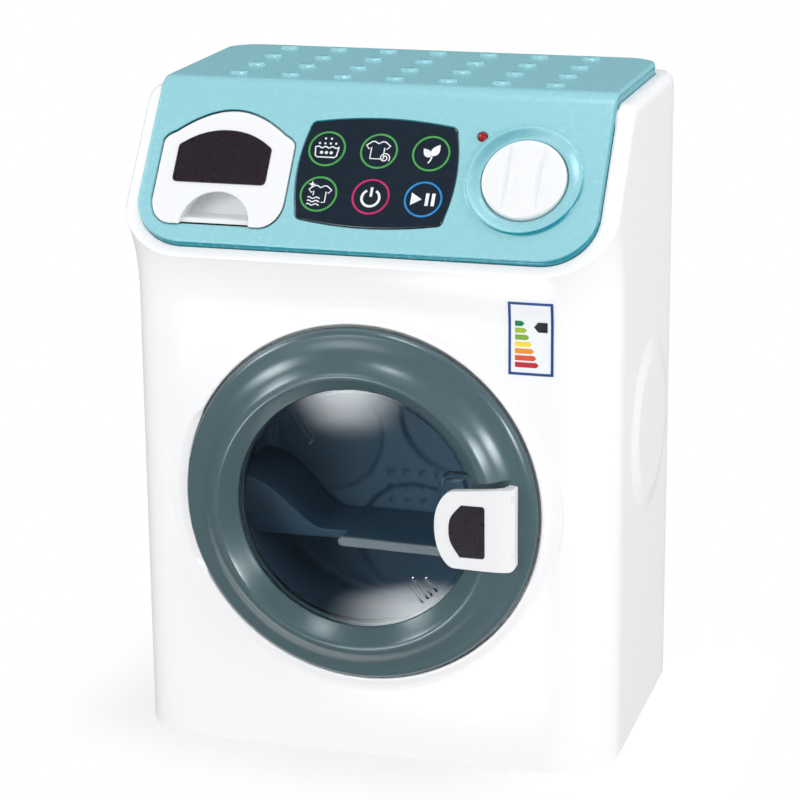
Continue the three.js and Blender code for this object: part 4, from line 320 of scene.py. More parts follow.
def rounded_rectangle(x0, x1, y0, y1, radius, steps=8):
    left, right, low, high = x0 + radius, x1 - radius, y0 + radius, y1 - radius
    outline = Outline(left, y0)
    for quarter, (x, y) in enumerate([(right, low), (right, high), (left, high), (left, low)], -1):
        outline.arc(x, y, radius, 90 * quarter, 90 * quarter + 90, steps)
    return outline.loop()


def circle(x, y, radius, steps):
    return Outline(x + radius, y).arc(x, y, radius, 0, 360, steps).loop()


def grown(loop, margin):
    """An outline moved outwards by a margin, or inwards by a negative one."""
    before = loop - np.roll(loop, 1, 0)
    after = np.roll(loop, -1, 0) - loop
    before /= np.linalg.norm(before, axis=1)[:, None]
    after /= np.linalg.norm(after, axis=1)[:, None]
    normal = np.stack([before[:, 1] + after[:, 1], -before[:, 0] - after[:, 0]], 1)
    normal /= np.linalg.norm(normal, axis=1)[:, None]
    spread = normal[:, 0] * before[:, 1] - normal[:, 1] * before[:, 0]
    return loop + margin * normal / np.maximum(spread, 0.5)[:, None]


def smooth(points, steps=6):
    """A curve through points, by Catmull-Rom segments."""
    p = np.array([points[0], *points, points[-1]], float)
    p[0] = 2 * p[1] - p[2]
    p[-1] = 2 * p[-2] - p[-3]
    curve = []
    for i in range(1, len(p) - 2):
        for k in range(steps):
            t = k / steps
            curve.append(0.5 * (
                2 * p[i] + (p[i + 1] - p[i - 1]) * t
                + (2 * p[i - 1] - 5 * p[i] + 4 * p[i + 1] - p[i + 2]) * t * t
                + (3 * p[i] - p[i - 1] - 3 * p[i + 1] + p[i + 2]) * t ** 3
            ))
    return [tuple(c) for c in curve] + [tuple(points[-1])]


# Meshes

def mesh_from(vertices, faces):
    """A new object from points in millimetres, with its faces turned outwards."""
    mesh = bpy.data.meshes.new("mesh")
    mesh.from_pydata([Vector(v) * MM for v in vertices], [], faces)
    shape = bmesh.new()
    shape.from_mesh(mesh)
    bmesh.ops.remove_doubles(shape, verts=shape.verts, dist=1e-7)
    bmesh.ops.recalc_face_normals(shape, faces=shape.faces)
    bmesh.ops.triangulate(shape, faces=[face for face in shape.faces if len(face.verts) > 4])
    shape.to_mesh(mesh)
    shape.free()
    thing = bpy.data.objects.new("mesh", mesh)
    bpy.context.scene.collection.objects.link(thing)
    return thing


def stack(rings, closed=False):
    """A body through rings of as many points each, with end caps unless its last ring meets its first."""
    count = len(rings[0])
    faces = []
    for i in range(len(rings) if closed else len(rings) - 1):
        a, b = i * count, (i + 1) % len(rings) * count
        for j in range(count):
            k = (j + 1) % count
            faces.append((a + j, a + k, b + k, b + j))
    if not closed:
        faces.append(tuple(range(count))[::-1])
        faces.append(tuple(range((len(rings) - 1) * count, len(rings) * count)))
    return mesh_from([p for ring in rings for p in ring], faces)


def upright(loop, low, high):
    """An outline seen from above, carried from one height to another."""
    return stack([[(x, y, z) for x, y in loop] for z in (low, high)])


def prism(loop, levels, place):
    """An outline carried through (level, margin) pairs, where the margin widens it."""
    return stack([[place(x, y, level) for x, y in grown(loop, margin)] for level, margin in levels])


def soft_edge(low, high, radius, steps=4):
    """Levels for a prism whose top edge is rounded."""
    levels = [(low, 0)]
    for k in range(steps + 1):
        angle = k * math.pi / 2 / steps
        levels.append((high - radius + radius * math.sin(angle), radius * math.cos(angle) - radius))
    return levels


def turned(profile, place, x=0.0, y=0.0, segments=96, sheet=False):
    """A profile of (radius, level) points turned about the line through (x, y), closed unless a sheet."""
    rows = []
    vertices = []
    for radius, level in profile:
        if radius < 1e-6:
            rows.append([len(vertices)] * segments)
            vertices.append(place(x, y, level))
            continue
        rows.append(list(range(len(vertices), len(vertices) + segments)))
        for k in range(segments):
            angle = 2 * math.pi * k / segments
            vertices.append(place(x + radius * math.cos(angle), y + radius * math.sin(angle), level))
    if not sheet and max(profile[0][0], profile[-1][0]) > 1e-6:
        rows.append(rows[0])
    faces = []
    for a, b in zip(rows, rows[1:]):
        for k in range(segments):
            m = (k + 1) % segments
            face = list(dict.fromkeys((a[k], a[m], b[m], b[k])))
            if len(face) > 2:
                faces.append(face)
    return mesh_from(vertices, faces)


def loft(stations, outline_at):
    """A closed body through (y, z) outlines at stations along X."""
    return stack([[(x, y, z) for y, z in outline_at(x)] for x in stations])


def box(x0, x1, y0, y1, z0, z1):
    return upright([(x0, y0), (x1, y0), (x1, y1), (x0, y1)], z0, z1)


def slice_between(y0, y1):
    """A block between two planes that reaches past the casing on its other sides."""
    return box(-FAR, FAR, y0, y1, -10, 2 * FAR)


def bar(points, width, low, high, place, closed=False):
    """A flat strip of even width along a line of points."""
    path = np.array(points, float)
    if closed:
        ahead = np.roll(path, -1, 0) - np.roll(path, 1, 0)
    else:
        ahead = np.gradient(path, axis=0)
    ahead /= np.linalg.norm(ahead, axis=1)[:, None]
    side = np.stack([-ahead[:, 1], ahead[:, 0]], 1) * width / 2
    rows = []
    for p, s in zip(path, side):
        a, b = p + s, p - s
        rows.append([place(*a, low), place(*b, low), place(*b, high), place(*a, high)])
    return stack(rows, closed)


def applied(thing):
    """The object with its modifiers made part of its mesh."""
    bpy.context.view_layer.update()
    graph = bpy.context.evaluated_depsgraph_get()
    old = thing.data
    thing.data = bpy.data.meshes.new_from_object(thing.evaluated_get(graph))
    thing.modifiers.clear()
    bpy.data.meshes.remove(old)
    return thing


def carved(thing, *cutters, operation="DIFFERENCE"):
    for cutter in cutters:
        cut = thing.modifiers.new("cut", "BOOLEAN")
        cut.operation = operation
        cut.solver = "EXACT"
        cut.object = cutter
    applied(thing)
    for cutter in cutters:
        bpy.data.objects.remove(cutter)
    return thing


def joined(*things):
    """Several meshes as one object."""
    shape = bmesh.new()
    for thing in things:
        shape.from_mesh(thing.data)
    first = things[0]
    shape.to_mesh(first.data)
    shape.free()
    for thing in things[1:]:
        bpy.data.objects.remove(thing)
    return first


def bevelled(thing, width, angle):
    bevel = thing.modifiers.new("edges", "BEVEL")
    bevel.width = width * MM
    bevel.segments = 3
    bevel.limit_method = "ANGLE"
    bevel.angle_limit = math.radians(angle)
    bevel.use_clamp_overlap = True
    return applied(thing)


def piece(thing, name, body, material, replaces=(), sharp=32):
    """Names, paints and shades a mesh, and fixes it to a CAD body."""
    thing.name = name
    mesh = thing.data
    mesh.name = name
    mesh.materials.clear()
    mesh.materials.append(material)
    shape = bmesh.new()
    shape.from_mesh(mesh)
    bmesh.ops.remove_doubles(shape, verts=shape.verts, dist=2e-7)
    bmesh.ops.dissolve_degenerate(shape, edges=shape.edges, dist=1e-7)
    shape.to_mesh(mesh)
    shape.free()
    mesh.shade_smooth()
    mesh.set_sharp_from_angle(angle=math.radians(sharp))
    even = thing.modifiers.new("even", "WEIGHTED_NORMAL")
    even.keep_sharp = True
    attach(thing, body)
    if replaces:
        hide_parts(*replaces)


# Materials, with the scale of their patches and grain, and the part of the noise that the patches span

PATCH_SCALE = 380
PATCH_REACH = (0.3, 0.7)
GRAIN_SCALE = 900
GRAIN_STRENGTH = 0.35
# How far a face must turn towards the painted shade's direction before the painted shade begins, and where it
# is full
SHADE_REACH = (0.22, 0.62)
SHADOW_THROUGH_CLEAR = (0.9, 0.92, 0.93, 1)


def feed(made, *inputs, **values):
    """Sets up a node: texts are settings, other values and outputs go to its inputs, in order or by name."""
    for key, value in values.items():
        if isinstance(value, str):
            setattr(made, key, value)
    named = [(made.inputs[key.replace("_", " ")], v) for key, v in values.items() if not isinstance(v, str)]
    for socket, value in [*zip(made.inputs, inputs), *named]:
        if isinstance(value, bpy.types.NodeSocket):
            made.id_data.links.new(value, socket)
        else:
            socket.default_value = value


def node(tree, kind, *inputs, **values):
    """The output of a new node that feed sets up."""
    made = tree.nodes.new("ShaderNode" + kind)
    feed(made, *inputs, **values)
    return next(socket for socket in made.outputs if socket.enabled)


def new_material(name):
    """A material with nodes, and its node tree."""
    material = bpy.data.materials.new(name)
    material.use_nodes = True
    return material, material.node_tree


def object_place(tree):
    return tree.nodes.new("ShaderNodeTexCoord").outputs["Object"]


def ramp(tree, share, low, high, interpolation="LINEAR", reach=(0, 1)):
    """A colour between two, by a share that runs over the reach."""
    made = tree.nodes.new("ShaderNodeValToRGB")
    feed(made, share)
    made.color_ramp.interpolation = interpolation
    for element, position, colour in zip(made.color_ramp.elements, reach, (low, high)):
        element.position = position
        element.color = colour
    return made.outputs["Color"]


def linear(red, green, blue):
    """A colour as seen, in 0 to 255, as the linear values that shaders take."""
    def convert(c):
        c /= 255
        return c / 12.92 if c <= 0.04045 else ((c + 0.055) / 1.055) ** 2.4
    return (convert(red), convert(green), convert(blue), 1)


def finish(name, colour, roughness, drift=0.04, depth=0.012, spread=0.05, **sockets):
    """A surface whose colour and gloss drift in soft patches over a fine grain of the given depth."""
    material, tree = new_material(name)
    place = object_place(tree)
    patches = node(tree, "TexNoise", Vector=place, Scale=PATCH_SCALE, Detail=1, Roughness=0.4)
    base = linear(*colour)[:3]
    dark, light = [[min(c * share, 1) for c in base] + [1] for share in (1 - drift, 1 + drift)]
    tint = ramp(tree, patches, dark, light, "EASE", PATCH_REACH)
    smoothest, roughest = max(roughness - spread, 0.01), min(roughness + spread, 1)
    gloss = node(tree, "MapRange", patches, *PATCH_REACH, smoothest, roughest)
    fine = node(tree, "TexNoise", Vector=place, Scale=GRAIN_SCALE, Detail=2, Roughness=0.5)
    bump = node(tree, "Bump", Strength=GRAIN_STRENGTH, Distance=depth * MM, Height=fine)
    feed(tree.nodes["Principled BSDF"], Base_Color=tint, Roughness=gloss, Normal=bump, **sockets)
    return material


def ink(name, colour):
    return finish(f"{name} ink", colour, 0.35)


def clear_plastic(name, colour, roughness):
    """Clear moulded plastic that lets light through to what is behind it."""
    material = finish(name, colour, roughness, 0.01, 0.002, 0.01, Transmission_Weight=1, IOR=1.45)
    tree = material.node_tree
    shadow = tree.nodes.new("ShaderNodeLightPath").outputs["Is Shadow Ray"]
    plastic = tree.nodes["Principled BSDF"].outputs["BSDF"]
    through = node(tree, "BsdfTransparent", SHADOW_THROUGH_CLEAR)
    feed(tree.nodes["Material Output"], node(tree, "MixShader", shadow, plastic, through))
    return material


def paint_shade_by_facing(material, shaded_facing, shade_colour):
    """Paints shade into a colour: it deepens where the surface turns towards a direction, as at a moulding's
    lower edges, in place of the shade that falls there.
    """
    tree = material.node_tree
    shader = tree.nodes["Principled BSDF"]
    colour = shader.inputs["Base Color"].links[0].from_socket
    normal = tree.nodes.new("ShaderNodeNewGeometry").outputs["Normal"]
    turn = node(tree, "VectorMath", normal, shaded_facing, operation="DOT_PRODUCT")
    share = node(tree, "MapRange", turn, *SHADE_REACH)
    feed(shader, Base_Color=node(tree, "Mix", data_type="RGBA", Factor=share, A=colour, B=linear(*shade_colour)))


WHITE = finish("white casing plastic", (249, 249, 250), 0.34, drift=0.003, depth=0.006, spread=0.01)
TRIM = finish("white trim plastic", (238, 239, 240), 0.26, drift=0.003, depth=0.004, spread=0.01)
AQUA = finish("aqua panel plastic", (147, 205, 214), 0.27, drift=0.004, depth=0.004, spread=0.01)
# Painted shade: the aqua deepens to dark teal on faces turned down and to the right, such as the panel's
# lower and right edges.
paint_shade_by_facing(AQUA, (0.5, -0.528, -0.687), (24, 140, 156))
SLATE = finish("slate door plastic", (78, 100, 106), 0.24, drift=0.012, depth=0.006, spread=0.02)
DRUM = finish("dark slate drum plastic", (84, 120, 146), 0.5, drift=0.03)
# Painted shade and painted light: the paddle is the drum's own plastic, painted darker on its blade for shade
# and paler on its lip for light.
DRUM_PAINTED_SHADE = finish("shaded slate drum plastic", (68, 102, 126), 0.5, drift=0.03)
DRUM_PAINTED_LIGHT = finish("pale slate shelf plastic", (150, 162, 168), 0.4, drift=0.02)
CLEAR = clear_plastic("clear window plastic", (244, 248, 250), 0.03)
BLACK = finish("black overlay film", (32, 43, 55), 0.12, Coat_Weight=0.6, Coat_Roughness=0.05)
PLUM = finish("plum sticker film", (36, 26, 38), 0.28, drift=0.02, spread=0.01)
PAPER = finish("sticker paper", (240, 243, 247), 0.4, drift=0.01)
INK_WHITE = ink("white", (236, 238, 242))
INK_GREEN = ink("green", (70, 158, 74))
INK_MAGENTA = ink("magenta", (192, 26, 98))
INK_BLUE = ink("blue", (22, 134, 206))
INK_NAVY = ink("navy", (4, 66, 138))
INK_BLACK = ink("black", (24, 20, 34))
LAMP_RED = finish("red lamp plastic", (205, 22, 32), 0.08, Transmission_Weight=0.35)
STEEL = finish("bright steel", (178, 182, 186), 0.28, drift=0.06, Metallic=1)
SCREW_STEEL = finish("zinc screw steel", (170, 172, 170), 0.35, drift=0.1, Metallic=1)
BRASS = finish("turned brass", (196, 162, 84), 0.3, drift=0.08, Metallic=1)
ACETAL = finish("acetal gear plastic", (232, 229, 219), 0.42, drift=0.02)
GREY = finish("grey moulded plastic", (140, 145, 149), 0.5)
BOARD = finish("green circuit board", (44, 118, 72), 0.45, drift=0.12)
CELL = finish("battery jacket", (52, 66, 78), 0.3, drift=0.1, Metallic=0.3)
MOTOR_CAN = finish("motor can steel", (150, 152, 154), 0.34, drift=0.08, Metallic=1)


# Casing

def corner_drop(distance, radius):
    """How far a rounded edge has fallen back at a distance in from the side."""
    if distance >= radius:
        return 0.0
    run = radius - max(distance, 0)
    return radius - math.sqrt(max(radius * radius - run * run, 0))


def rounded_outline(corners):
    """A (y, z) outline whose corners, given as (point, radius, steps), turn into arcs."""
    outline = []
    for i, (at, radius, steps) in enumerate(corners):
        at = np.array(at, float)
        if not radius:
            outline.append(tuple(at))
            continue
        back = np.array(corners[i - 1][0]) - at
        on = np.array(corners[(i + 1) % len(corners)][0]) - at
        reach = min(np.linalg.norm(back), np.linalg.norm(on))
        back /= np.linalg.norm(back)
        on /= np.linalg.norm(on)
        half = math.acos(np.clip(back @ on, -1, 1)) / 2
        r = min(radius, 0.45 * reach * math.tan(half))
        middle = back + on
        centre = at + middle / np.linalg.norm(middle) * r / math.sin(half)
        first = at + back * r / math.tan(half) - centre
        last = at + on * r / math.tan(half) - centre
        turn = math.atan2(first[0] * last[1] - first[1] * last[0], first @ last)
        for k in range(steps + 1):
            a = turn * k / steps
            outline.append(tuple(centre + (
                first[0] * math.cos(a) - first[1] * math.sin(a),
                first[0] * math.sin(a) + first[1] * math.cos(a),
            )))
    return outline


def stations(half, corner, steps=14, extra=()):
    """Places across a solid, closer together towards its rounded sides."""
    right = [half - corner + corner * math.sin(k * math.pi / 2 / steps) for k in range(steps + 1)]
    right = sorted([*right, *extra])
    return [-x for x in reversed(right)] + right


def cove_curve(nose, y_front):
    """The curve from the lip's nose down to the front face."""
    drop = nose[1] - COVE_LOW
    return Outline(*nose).curve(
        (nose[0] + 0.45 * (y_front - nose[0]), nose[1] - 0.2 * drop),
        (y_front, nose[1] - 0.5 * drop),
        (y_front, COVE_LOW),
        steps=16,
    ).points[1:]


def cove_rise():
    """Heights up the front face and how far it stands forward there."""
    curve = cove_curve(slope_point(-LIP_REACH, -PANEL_PROUD), FRONT)[::-1]
    return [z for _, z in curve], [FRONT - y for y, _ in curve]


def casing_outline(x, inset, band, rear):
    """The casing's (y, z) outline at a station, moved in by the inset and down from the panel by the band."""
    side = HALF_WIDTH - inset - abs(x)
    y_front = FRONT + inset + corner_drop(side, FRONT_CORNER - inset)
    y_rear = rear - corner_drop(side, REAR_CORNER - inset)
    edge = corner_drop(side, max(SHOULDER_RADIUS - inset, 1))
    top = SHOULDER_Z - band - edge
    rim_out = -PANEL_PROUD - band - edge
    nose = np.array(slope_point(inset - LIP_REACH + corner_drop(side, FRONT_CORNER - inset), rim_out))
    fold = slope_point(slope_up_at(top, rim_out), rim_out)
    return rounded_outline([
        ((y_rear, inset), 0, 0),
        ((y_rear, top), SHOULDER_RADIUS, 5),
        (fold, FOLD_RADIUS, 7),
        (tuple(nose), LIP_NOSE, 6),
        *[(p, 0, 0) for p in cove_curve(nose, y_front)],
        ((y_front, inset), 0, 0),
    ])


def casing_solid(inset, band, rear):
    xs = stations(HALF_WIDTH - inset, FRONT_CORNER - inset)
    return loft(xs, lambda x: casing_outline(x, inset, band, rear))


def slope_room(inset, depth):
    """The room of the panel's slope, as a slab that runs on past its fold."""
    half = PANEL_HALF - inset
    loop = rounded_rectangle(-half, half, inset, SLOPE_REACH, PANEL_CORNER - inset, 14)
    return prism(loop, [(-PANEL_PROUD - depth, 0), (30, 0)], on_panel)


def top_room(inset, depth):
    """The room of the panel's flat top, square at its fold and rounded at the rear."""
    half = PANEL_HALF - inset
    corner = PANEL_REAR_CORNER
    loop = rounded_rectangle(-half, half, FOLD_Y - 2, PANEL_REAR - inset, corner - inset, 12)
    rear = [p for p in loop if p[1] > FOLD_Y + corner]
    return upright([(-half, FOLD_Y - 2), (half, FOLD_Y - 2), *rear], SHOULDER_Z - depth, ROOM_TOP)


def trimmed_slope_room(inset, depth):
    """The slope's room, cut off upright behind the fold."""
    return carved(slope_room(inset, depth), slice_between(FOLD_Y + 3, FAR))


def casing_hull():
    hull = carved(casing_solid(0, 0, BACK), casing_solid(WALL, PANEL_BAND, BACK - WALL))
    return carved(
        hull,
        trimmed_slope_room(-GAP, PANEL_SEAT),
        top_room(-GAP, PANEL_SEAT),
        trimmed_slope_room(LEDGE_WIDTH, PANEL_BAND + 6),
        top_room(LEDGE_WIDTH, PANEL_BAND + 6),
    )


def side_disc(side):
    """A shallow raised disc with a soft bevel, which stands on the wall."""
    def place(y, z, level):
        return (side * (HALF_WIDTH + level), DISC_Y + y, DISC_Z + z)
    rise = DISC_RISE
    edge = smooth([
        (DISC_RADIUS + 1.5, -0.05),
        (DISC_RADIUS, 0.03),
        (DISC_RADIUS - 3, 0.4 * rise),
        (DISC_FLAT_RADIUS + 1.5, 0.95 * rise),
        (DISC_FLAT_RADIUS - 1, rise),
    ])
    return turned([(DISC_RADIUS + 1.5, -1), *edge, (0, rise), (0, -1)], place, segments=128)


def door_surround():
    """The collar round the door, and the seat that the door's rim closes on."""
    r = RECESS_RADIUS
    crest = smooth([(r, 1.7), (r + 0.2, 2.15), (r + 0.7, 2.3)], 4)
    skirt = smooth([(r + 1.2, 2.2), (r + 2.2, 1.4), (r + 3.6, 0.55), (r + 5.3, 0.1), (r + 6.6, -0.05)], 5)
    collar = turned([(r, -1.8), *crest, *skirt, (r + 6.6, -1.2)], on_door, segments=160)
    ledge = [(OPENING_RADIUS, -1.9), (OPENING_RADIUS + 0.3, -1.6), (SEAT_RADIUS, -1.6), (SEAT_RADIUS, -4)]
    seat = turned([*ledge, (OPENING_RADIUS, -4)], on_door, segments=160)
    pocket = upright(circle(HINGE_X, HINGE_Y, HINGE_REACH, 40), DOOR_Z - COLLAR_DIP, DOOR_Z + COLLAR_DIP)
    half = COLLAR_DIP
    dip = [(-half - 6, 2.8), (-half - 3, 1.4), (-half, 0.7), (half, 0.7), (half + 3, 1.4), (half + 6, 2.8)]
    slot = stack([[on_door(x, z, f) for x, f in ((-75, level), (-56.7, level), (-56.7, 6), (-75, 6))]
                  for z, level in dip])
    return [carved(collar, slot), carved(seat, pocket)]


def hinge_lug(low, high):
    """A barrel on an L-shaped leg that leaves the room behind the pin free."""
    barrel = upright(circle(HINGE_X, HINGE_Y, BARREL_RADIUS, 28), low, high)
    bridge = box(HINGE_X, HINGE_X + 4.2, HINGE_Y - 1.2, HINGE_Y + 1.2, low, high)
    leg = box(HINGE_X + 2.2, HINGE_X + 4.2, HINGE_Y - 1.2, FRONT + 3, low, high)
    return [barrel, bridge, leg]


def hinge_notch():
    left, right, half = HINGE_NOTCH
    return box(left, right, FRONT - 4.9, FRONT, DOOR_Z - half, DOOR_Z + half)


def rear_cuts():
    """What is cut out of the rear cover: grille slots, the battery bay with its tab, and screw holes."""
    through = [(-2, 0), (2, 0)]
    x, z = GRILLE
    for i in range(7):
        across = (i - 3) * GRILLE_PITCH
        half = math.sqrt(GRILLE_RADIUS ** 2 - across * across)
        slot = rounded_rectangle(x + across - 1, x + across + 1, z - half, z + half, 0.98, 5)
        yield prism(slot, [(-6, 0), (0.1, 0), (0.6, 0.4)], on_back)
    yield prism(rounded_rectangle(*BATTERY_BAY, 1.6, 4), through, on_back)
    yield prism(rounded_rectangle(*BAY_TAB, 1, 4), through, on_back)
    for x, z in COVER_SCREWS:
        yield prism(circle(x, z, SCREW_HOLE, 28), [(-1, 0), (-0.3, 0), (0.5, 0.6)], on_back)


def build_casing():
    hull = casing_hull()
    rear = bpy.data.objects.new("rear", hull.data.copy())
    bpy.context.scene.collection.objects.link(rear)
    front = carved(
        hull,
        slice_between(SEAM_Y - GAP / 2, FAR),
        prism(circle(0, 0, RECESS_RADIUS, 160), [(-10, 0), (10, 0)], on_door),
    )
    parts = [front, side_disc(-1), side_disc(1), *door_surround()]
    for low, high in ((-LUG_HIGH, -LUG_LOW), (LUG_LOW, LUG_HIGH)):
        parts += hinge_lug(DOOR_Z + low, DOOR_Z + high)
    piece(joined(*parts), "casing_front", "casing", WHITE, ["front_shell"])
    carved(rear, slice_between(-FAR, SEAM_Y + GAP / 2), *rear_cuts())
    piece(rear, "casing_rear", "casing", WHITE, ["rear_cover"])


# Control panel

def panel_outline(x, inset, skin, seat):
    """The panel's bent (y, z) outline at a station, with its face moved in by the skin."""
    side = PANEL_HALF - inset - abs(x)
    edge = corner_drop(side, max(PANEL_EDGE - inset, 0.01)) + skin
    foot = inset + corner_drop(side, PANEL_CORNER - inset)
    rear = PANEL_REAR - inset - corner_drop(side, PANEL_REAR_CORNER - inset)
    under = -PANEL_PROUD - seat
    under_top = SHOULDER_Z - seat
    top = PANEL_TOP - edge
    return rounded_outline([
        ((rear, under_top), 0, 0),
        ((rear, top), PANEL_EDGE, 5),
        (slope_point(slope_up_at(top, -edge), -edge), FOLD_RADIUS, 9),
        (slope_point(foot, -edge), PANEL_EDGE, 5),
        (slope_point(foot, under), 0, 0),
        (slope_point(slope_up_at(under_top, under), under), 0, 0),
    ])


def panel_solid(inset, skin, seat):
    edges = [PANEL_HALF - PANEL_EDGE + PANEL_EDGE * math.sin(k * math.pi / 12) for k in range(6)]
    xs = stations(PANEL_HALF - inset, PANEL_CORNER - inset, 16, edges if not inset else ())
    return loft(xs, lambda x: panel_outline(x, inset, skin, seat))


def drawer_outline():
    low, shoulder, apex = (FOOT_Z + up * math.cos(TILT) for up in (DRAWER_LOW, DRAWER_SHOULDER, DRAWER_APEX))
    x, r = DRAWER_X, DRAWER_CORNER
    left, right = x - DRAWER_HALF, x + DRAWER_HALF
    outline = Outline(left + r, low).line(right - r, low).arc(right - r, low + r, r, -90, 0, 12)
    outline.line(right, shoulder - 2).curve((right, shoulder), (right - 4, shoulder + 1.4), steps=6)
    outline.curve((x + 9.8, apex), (x, apex)).curve((x - 9.8, apex), (left + 4, shoulder + 1.4))
    outline.curve((left, shoulder), (left, shoulder - 2), steps=6).line(left, low + r)
    return outline.arc(left + r, low + r, r, 180, 270, 12).loop()


def overlay_outline():
    """A rounded rectangle whose sides bulge."""
    (x, y), (across, up) = OVERLAY, OVERLAY_HALF
    x0, x1, y0, y1 = x - across, x + across, y - up, y + up
    r = 3
    bulge = 4
    outline = Outline(x0 + r, y0)
    for side, end, corner, start in (
        ((x, y0 - bulge), (x1 - r, y0), (x1, y0), (x1, y0 + r)),
        ((x1 + bulge, y), (x1, y1 - r), (x1, y1), (x1 - r, y1)),
        ((x, y1 + bulge), (x0 + r, y1), (x0, y1), (x0, y1 - r)),
        ((x0 - bulge, y), (x0, y0 + r), (x0, y0), (x0 + r, y0)),
    ):
        outline.curve(side, end).curve(corner, start, steps=6)
    return outline.loop()


def grip_bump(column, row):
    """A low rounded lozenge on the panel's top."""
    x = (column - 3) * BUMP_PITCH[0]
    y = FOLD_Y + BUMP_START + row * BUMP_PITCH[1]
    across, back = BUMP_HALF
    loop = []
    for k in range(28):
        a = 2 * math.pi * k / 28
        u, v = math.cos(a), math.sin(a)
        u = math.copysign(abs(u) ** 1.25, u)
        v = math.copysign(abs(v) ** 1.1, v)
        loop.append((x + across * u, y + back * v))
    levels = [(-0.4, 0.35), (0.0, 0.18), (0.25, -0.02), (0.6, -0.35), (0.85, -0.85), (0.9, -1.4)]
    return prism(np.array(loop), levels, on_top)


def panel_boss():
    """The raised ring round the knob, whose face dishes in towards the knob."""
    r, rise = BOSS_RADIUS, BOSS_RISE
    edge = smooth([
        (r + 1.6, -0.25), (r + 0.7, 0.05), (r + 0.15, 0.5), (r, rise - 0.35), (r - 0.3, rise - 0.05),
        (r - 0.8, rise), (r - 1.5, rise - 0.25), (r - 2.8, rise - 0.85), (DISH_EDGE + 1, rise - 1.35),
        (DISH_EDGE + 0.3, rise - 1.4), (DISH_EDGE, rise - 1.7),
    ], 4)
    bore = [(DISH_EDGE, -1.6), (5, -1.6), (5, -2), (0, -2)]
    return turned([(0, -PANEL_SKIN), (r + 1.6, -PANEL_SKIN), *edge, *bore], on_panel, *KNOB, segments=128)


def build_panel():
    hollow = panel_solid(PANEL_SKIN + 0.2, PANEL_SKIN, PANEL_SEAT + 4)
    plate = carved(panel_solid(0, 0, PANEL_SEAT - GAP), hollow)
    drawer = stack([[(x, y, z) for x, z in grown(drawer_outline(), 0.5)] for y in (-FAR, FOLD_Y + 4)])
    chamfer = prism(drawer_outline(), [(-0.5, 0.4), (0, 0.85), (1, 0.85)], along_drawer)
    overlay = prism(overlay_outline(), [(-1, 0.3), (-0.3, 0.3), (0.3, 0.9), (2, 0.9)], on_panel)
    boss_hole = prism(circle(*KNOB, BOSS_RADIUS + 0.9, 96), [(-8, 0), (3, 0)], on_panel)
    lamp_hole = prism(circle(*LAMP, LAMP_RADIUS + 0.3, 32), [(-8, 0), (-0.3, 0), (0.3, 0.6)], on_panel)
    carved(plate, drawer, chamfer, overlay, boss_hole, lamp_hole)
    bumps = [grip_bump(column, row) for row in range(4) for column in range(7)]
    panel = joined(plate, panel_boss(), *bumps)
    piece(panel, "panel_moulding", "casing", AQUA, ["control_panel"])


def finger_hollow(side):
    """The room of a hollow that is widest and deepest in its middle, on one side of the knob's ridge."""
    top = KNOB_TOP
    rows = []
    for t in np.linspace(-1, 1, 25):
        taper = max(math.cos(t * math.pi / 2), 0)
        up = KNOB[1] + HOLLOW_REACH * t
        half = HOLLOW_HALF * taper ** 0.75 + 0.02
        floor = top - HOLLOW_DEPTH * taper ** 0.6 - 0.01
        middle = KNOB[0] + side * (HOLLOW_OFFSET + 0.5 * t * t)
        section = ((-half, top + 0.02), (-0.35, floor), (0.35, floor), (half, top + 0.02), (0, top + 1))
        rows.append([on_panel(middle + across, up, level) for across, level in section])
    return stack(rows)


def build_knob():
    top = KNOB_TOP
    r = KNOB_RADIUS
    edge = smooth([(r, top - 1), (r - 0.2, top - 0.4), (r - 0.7, top - 0.06), (r - 1.3, top)], 4)
    disc = turned([(0, -1.2), (r, -1.2), *edge, (0, top)], on_panel, *KNOB, segments=128)
    carved(disc, finger_hollow(-1), finger_hollow(1))
    piece(disc, "knob_disc", "knob", TRIM, ["selector_knob"], sharp=24)


def build_lamp():
    r = LAMP_RADIUS
    dome = [(r * math.cos(a), 0.1 + 1.35 * math.sin(a)) for a in np.linspace(0, math.pi / 2, 9)]
    lens = turned([(0, -4), (r, -4), *dome[:-1], (0, 1.45)], on_panel, *LAMP, segments=40)
    piece(lens, "lamp_lens", "casing", LAMP_RED, ["indicator_lamp"])


def build_overlay():
    sheet = prism(overlay_outline(), soft_edge(-0.7, OVERLAY_TOP, 0.25), on_panel)
    piece(sheet, "overlay_sheet", "casing", BLACK, ["symbol_overlay"])


# Touch symbols on the overlay, drawn as thin ink in millimetres about each ring's middle

RING_RADIUS = 6.5
RING_LINE = 0.7
RING_COLUMNS = (-16.8, 2.3, 21.3)
RING_ROWS = (39.2, 21.5)
SHIRT = [(-1.3, 3.3), (0, 2.5), (1.3, 3.3), (2.4, 3.3), (4.4, 1.7), (3.3, 0.4), (2.4, 1.0), (2.4, -3.4),
         (-2.4, -3.4), (-2.4, 1.0), (-3.3, 0.4), (-4.4, 1.7), (-2.4, 3.3)]


def ink_on(middle):
    """A place function for ink about a ring's middle."""
    def place(across, up, out):
        return on_panel(middle[0] + across, middle[1] + up, OVERLAY_TOP + out)
    return place


def stroke(points, place, width=0.45, closed=False):
    return bar(points, width, -0.1, 0.07, place, closed)


def fill(loop, place):
    return prism(np.array(loop, float), [(-0.1, 0), (0.07, 0)], place)


def dot(x, y, radius, place):
    return fill(circle(x, y, radius, 16), place)


def moved(points, across, up, share=1.0):
    return [(across + share * x, up + share * y) for x, y in points]


